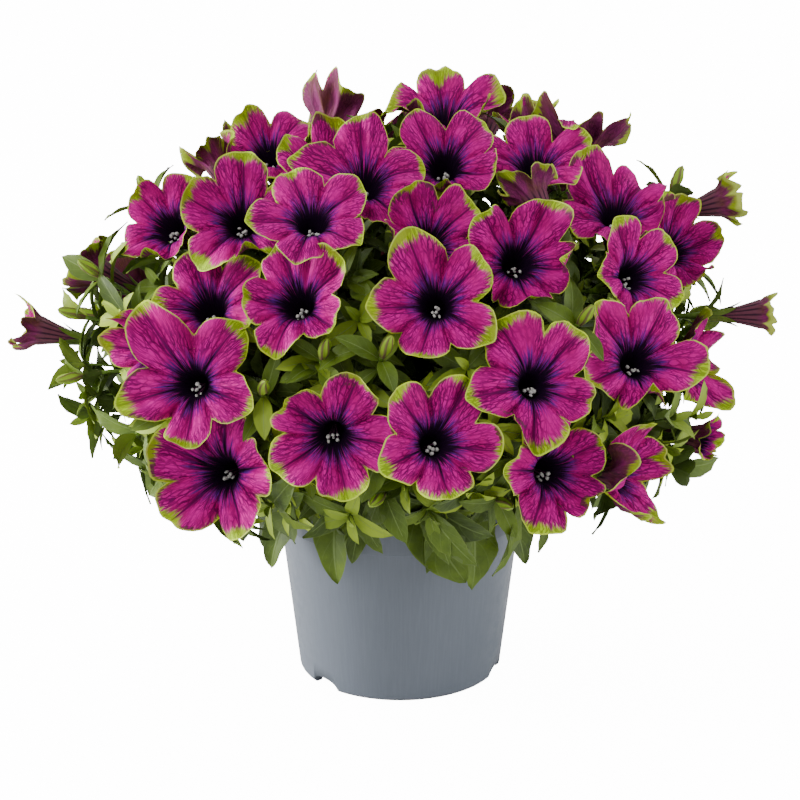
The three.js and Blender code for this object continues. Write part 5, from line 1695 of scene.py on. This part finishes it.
def addSoil():
    form = soilForm
    draw = randomStream(seedOf("soil"))
    waves = [(draw() * 0.5 + 0.05, draw() * 6.28, draw() * 6.28) for _ in range(form["waves"])]
    rings, rows, sides = form["rings"], form["sideRows"], form["sides"]
    a = np.arange(sides) * 2 * math.pi / sides
    r = np.concatenate([np.linspace(0.01, 1, rings - rows), np.ones(rows)]) * soil["radius"]
    x, y = r[:, None] * np.cos(a)[None, :], r[:, None] * np.sin(a)[None, :]
    z = np.full(x.shape, soil["top"] - form["sunk"])
    for frequency, heading, shift in waves:
        size = 0.5 * (0.3 / (frequency + 0.25))
        z += size * np.sin(frequency * 4 * (x * math.cos(heading) + y * math.sin(heading)) + shift) * 0.6
    z = np.minimum(z, soil["top"] + 1)
    z -= np.clip((r[:, None] - form["edgeFrom"]) / form["edgeWidth"], 0, 1) * form["edgeFall"]
    taper = np.linspace(0, 1, rows + 1)[1:]
    z[-rows:] = z[-rows - 1][None, :] * (1 - taper[:, None]) + form["footHeight"] * taper[:, None]
    scale = 1 - taper * (1 - form["footRadius"] / soil["radius"])
    x[-rows:] *= scale[:, None]
    y[-rows:] *= scale[:, None]
    grid = np.stack([x, y, z], axis=-1)
    sheets = Sheets()
    sheets.add(grid.reshape(-1, 3), gridFaces(rings, sides, closed=True), np.zeros((rings * sides, 5)), 0)
    makePiece("petunia_soil", sheets, [peat], ("soil",))


addPot()
addSoil()
print("pot and soil are made")

# Studio: a pale floor, a soft white room, and four large soft lamps
studio = {"room": 0.62, "background": 14.0, "floor": (0.8, 0.8, 0.8, 1), "floorGlow": 14.0, "floorHalf": 6,
          "floorRoughness": 0.9, "floorHeight": -0.0002, "lampAim": (0, 0, 0.15)}
# Each lamp: name, place in metres, size and power
lamps = (
    ("key", (-1.0, -1.3, 1.7), 1.0, 24),
    ("left", (-2.0, 0.3, 0.4), 1.0, 90),
    ("right", (1.9, -0.2, 0.5), 1.2, 26),
    ("back", (0.2, 1.6, 1.6), 1.4, 20),
)


def addLamp(name, place, size, power):
    data = bpy.data.lights.new(name, "AREA")
    data.size = size
    data.energy = power
    lamp = bpy.data.objects.new(name, data)
    bpy.context.scene.collection.objects.link(lamp)
    lamp.location = place
    lamp.rotation_euler = (Vector(place) - Vector(studio["lampAim"])).to_track_quat("Z", "Y").to_euler()


def addStudio():
    world = bpy.data.worlds.new("room")
    bpy.context.scene.world = world
    world.use_nodes = True
    world.node_tree.nodes.clear()
    graph = Graph(world.node_tree)
    seen = graph.make("LightPath").outputs["Is Camera Ray"]
    strength = graph.smooth(seen, 0.0, 1.0, studio["room"], studio["background"])
    light = graph.make("Background", {"Color": (1, 1, 1, 1), "Strength": strength})
    output = graph.make("OutputWorld")
    graph.tree.links.new(light.outputs[0], output.inputs[0])
    mesh = bpy.data.meshes.new("floor")
    half = studio["floorHalf"]
    corners = [(-half, -half, 0), (half, -half, 0), (half, half, 0), (-half, half, 0)]
    mesh.from_pydata(corners, [], [(0, 1, 2, 3)])
    floor = bpy.data.objects.new("floor", mesh)
    floor.location.z = studio["floorHeight"]
    bpy.context.scene.collection.objects.link(floor)
    material, graph, inputs = newMaterial("floor")
    inputs["Base Color"].default_value = studio["floor"]
    inputs["Roughness"].default_value = studio["floorRoughness"]
    inputs["Emission Color"].default_value = (1, 1, 1, 1)
    seen = graph.make("LightPath").outputs["Is Camera Ray"]
    graph.put(inputs["Emission Strength"], graph.math("MULTIPLY", seen, studio["floorGlow"]))
    mesh.materials.append(material)
    for lamp in lamps:
        addLamp(*lamp)


def printTriangles():
    counts = []
    for thing in bpy.context.scene.objects:
        if thing.type == "MESH":
            thing.data.calc_loop_triangles()
            counts.append(len(thing.data.loop_triangles))
    print("triangles:", sum(counts), "most in a piece:", max(counts))


addStudio()
bpy.context.view_layer.update()
printTriangles()
print("scene is made")
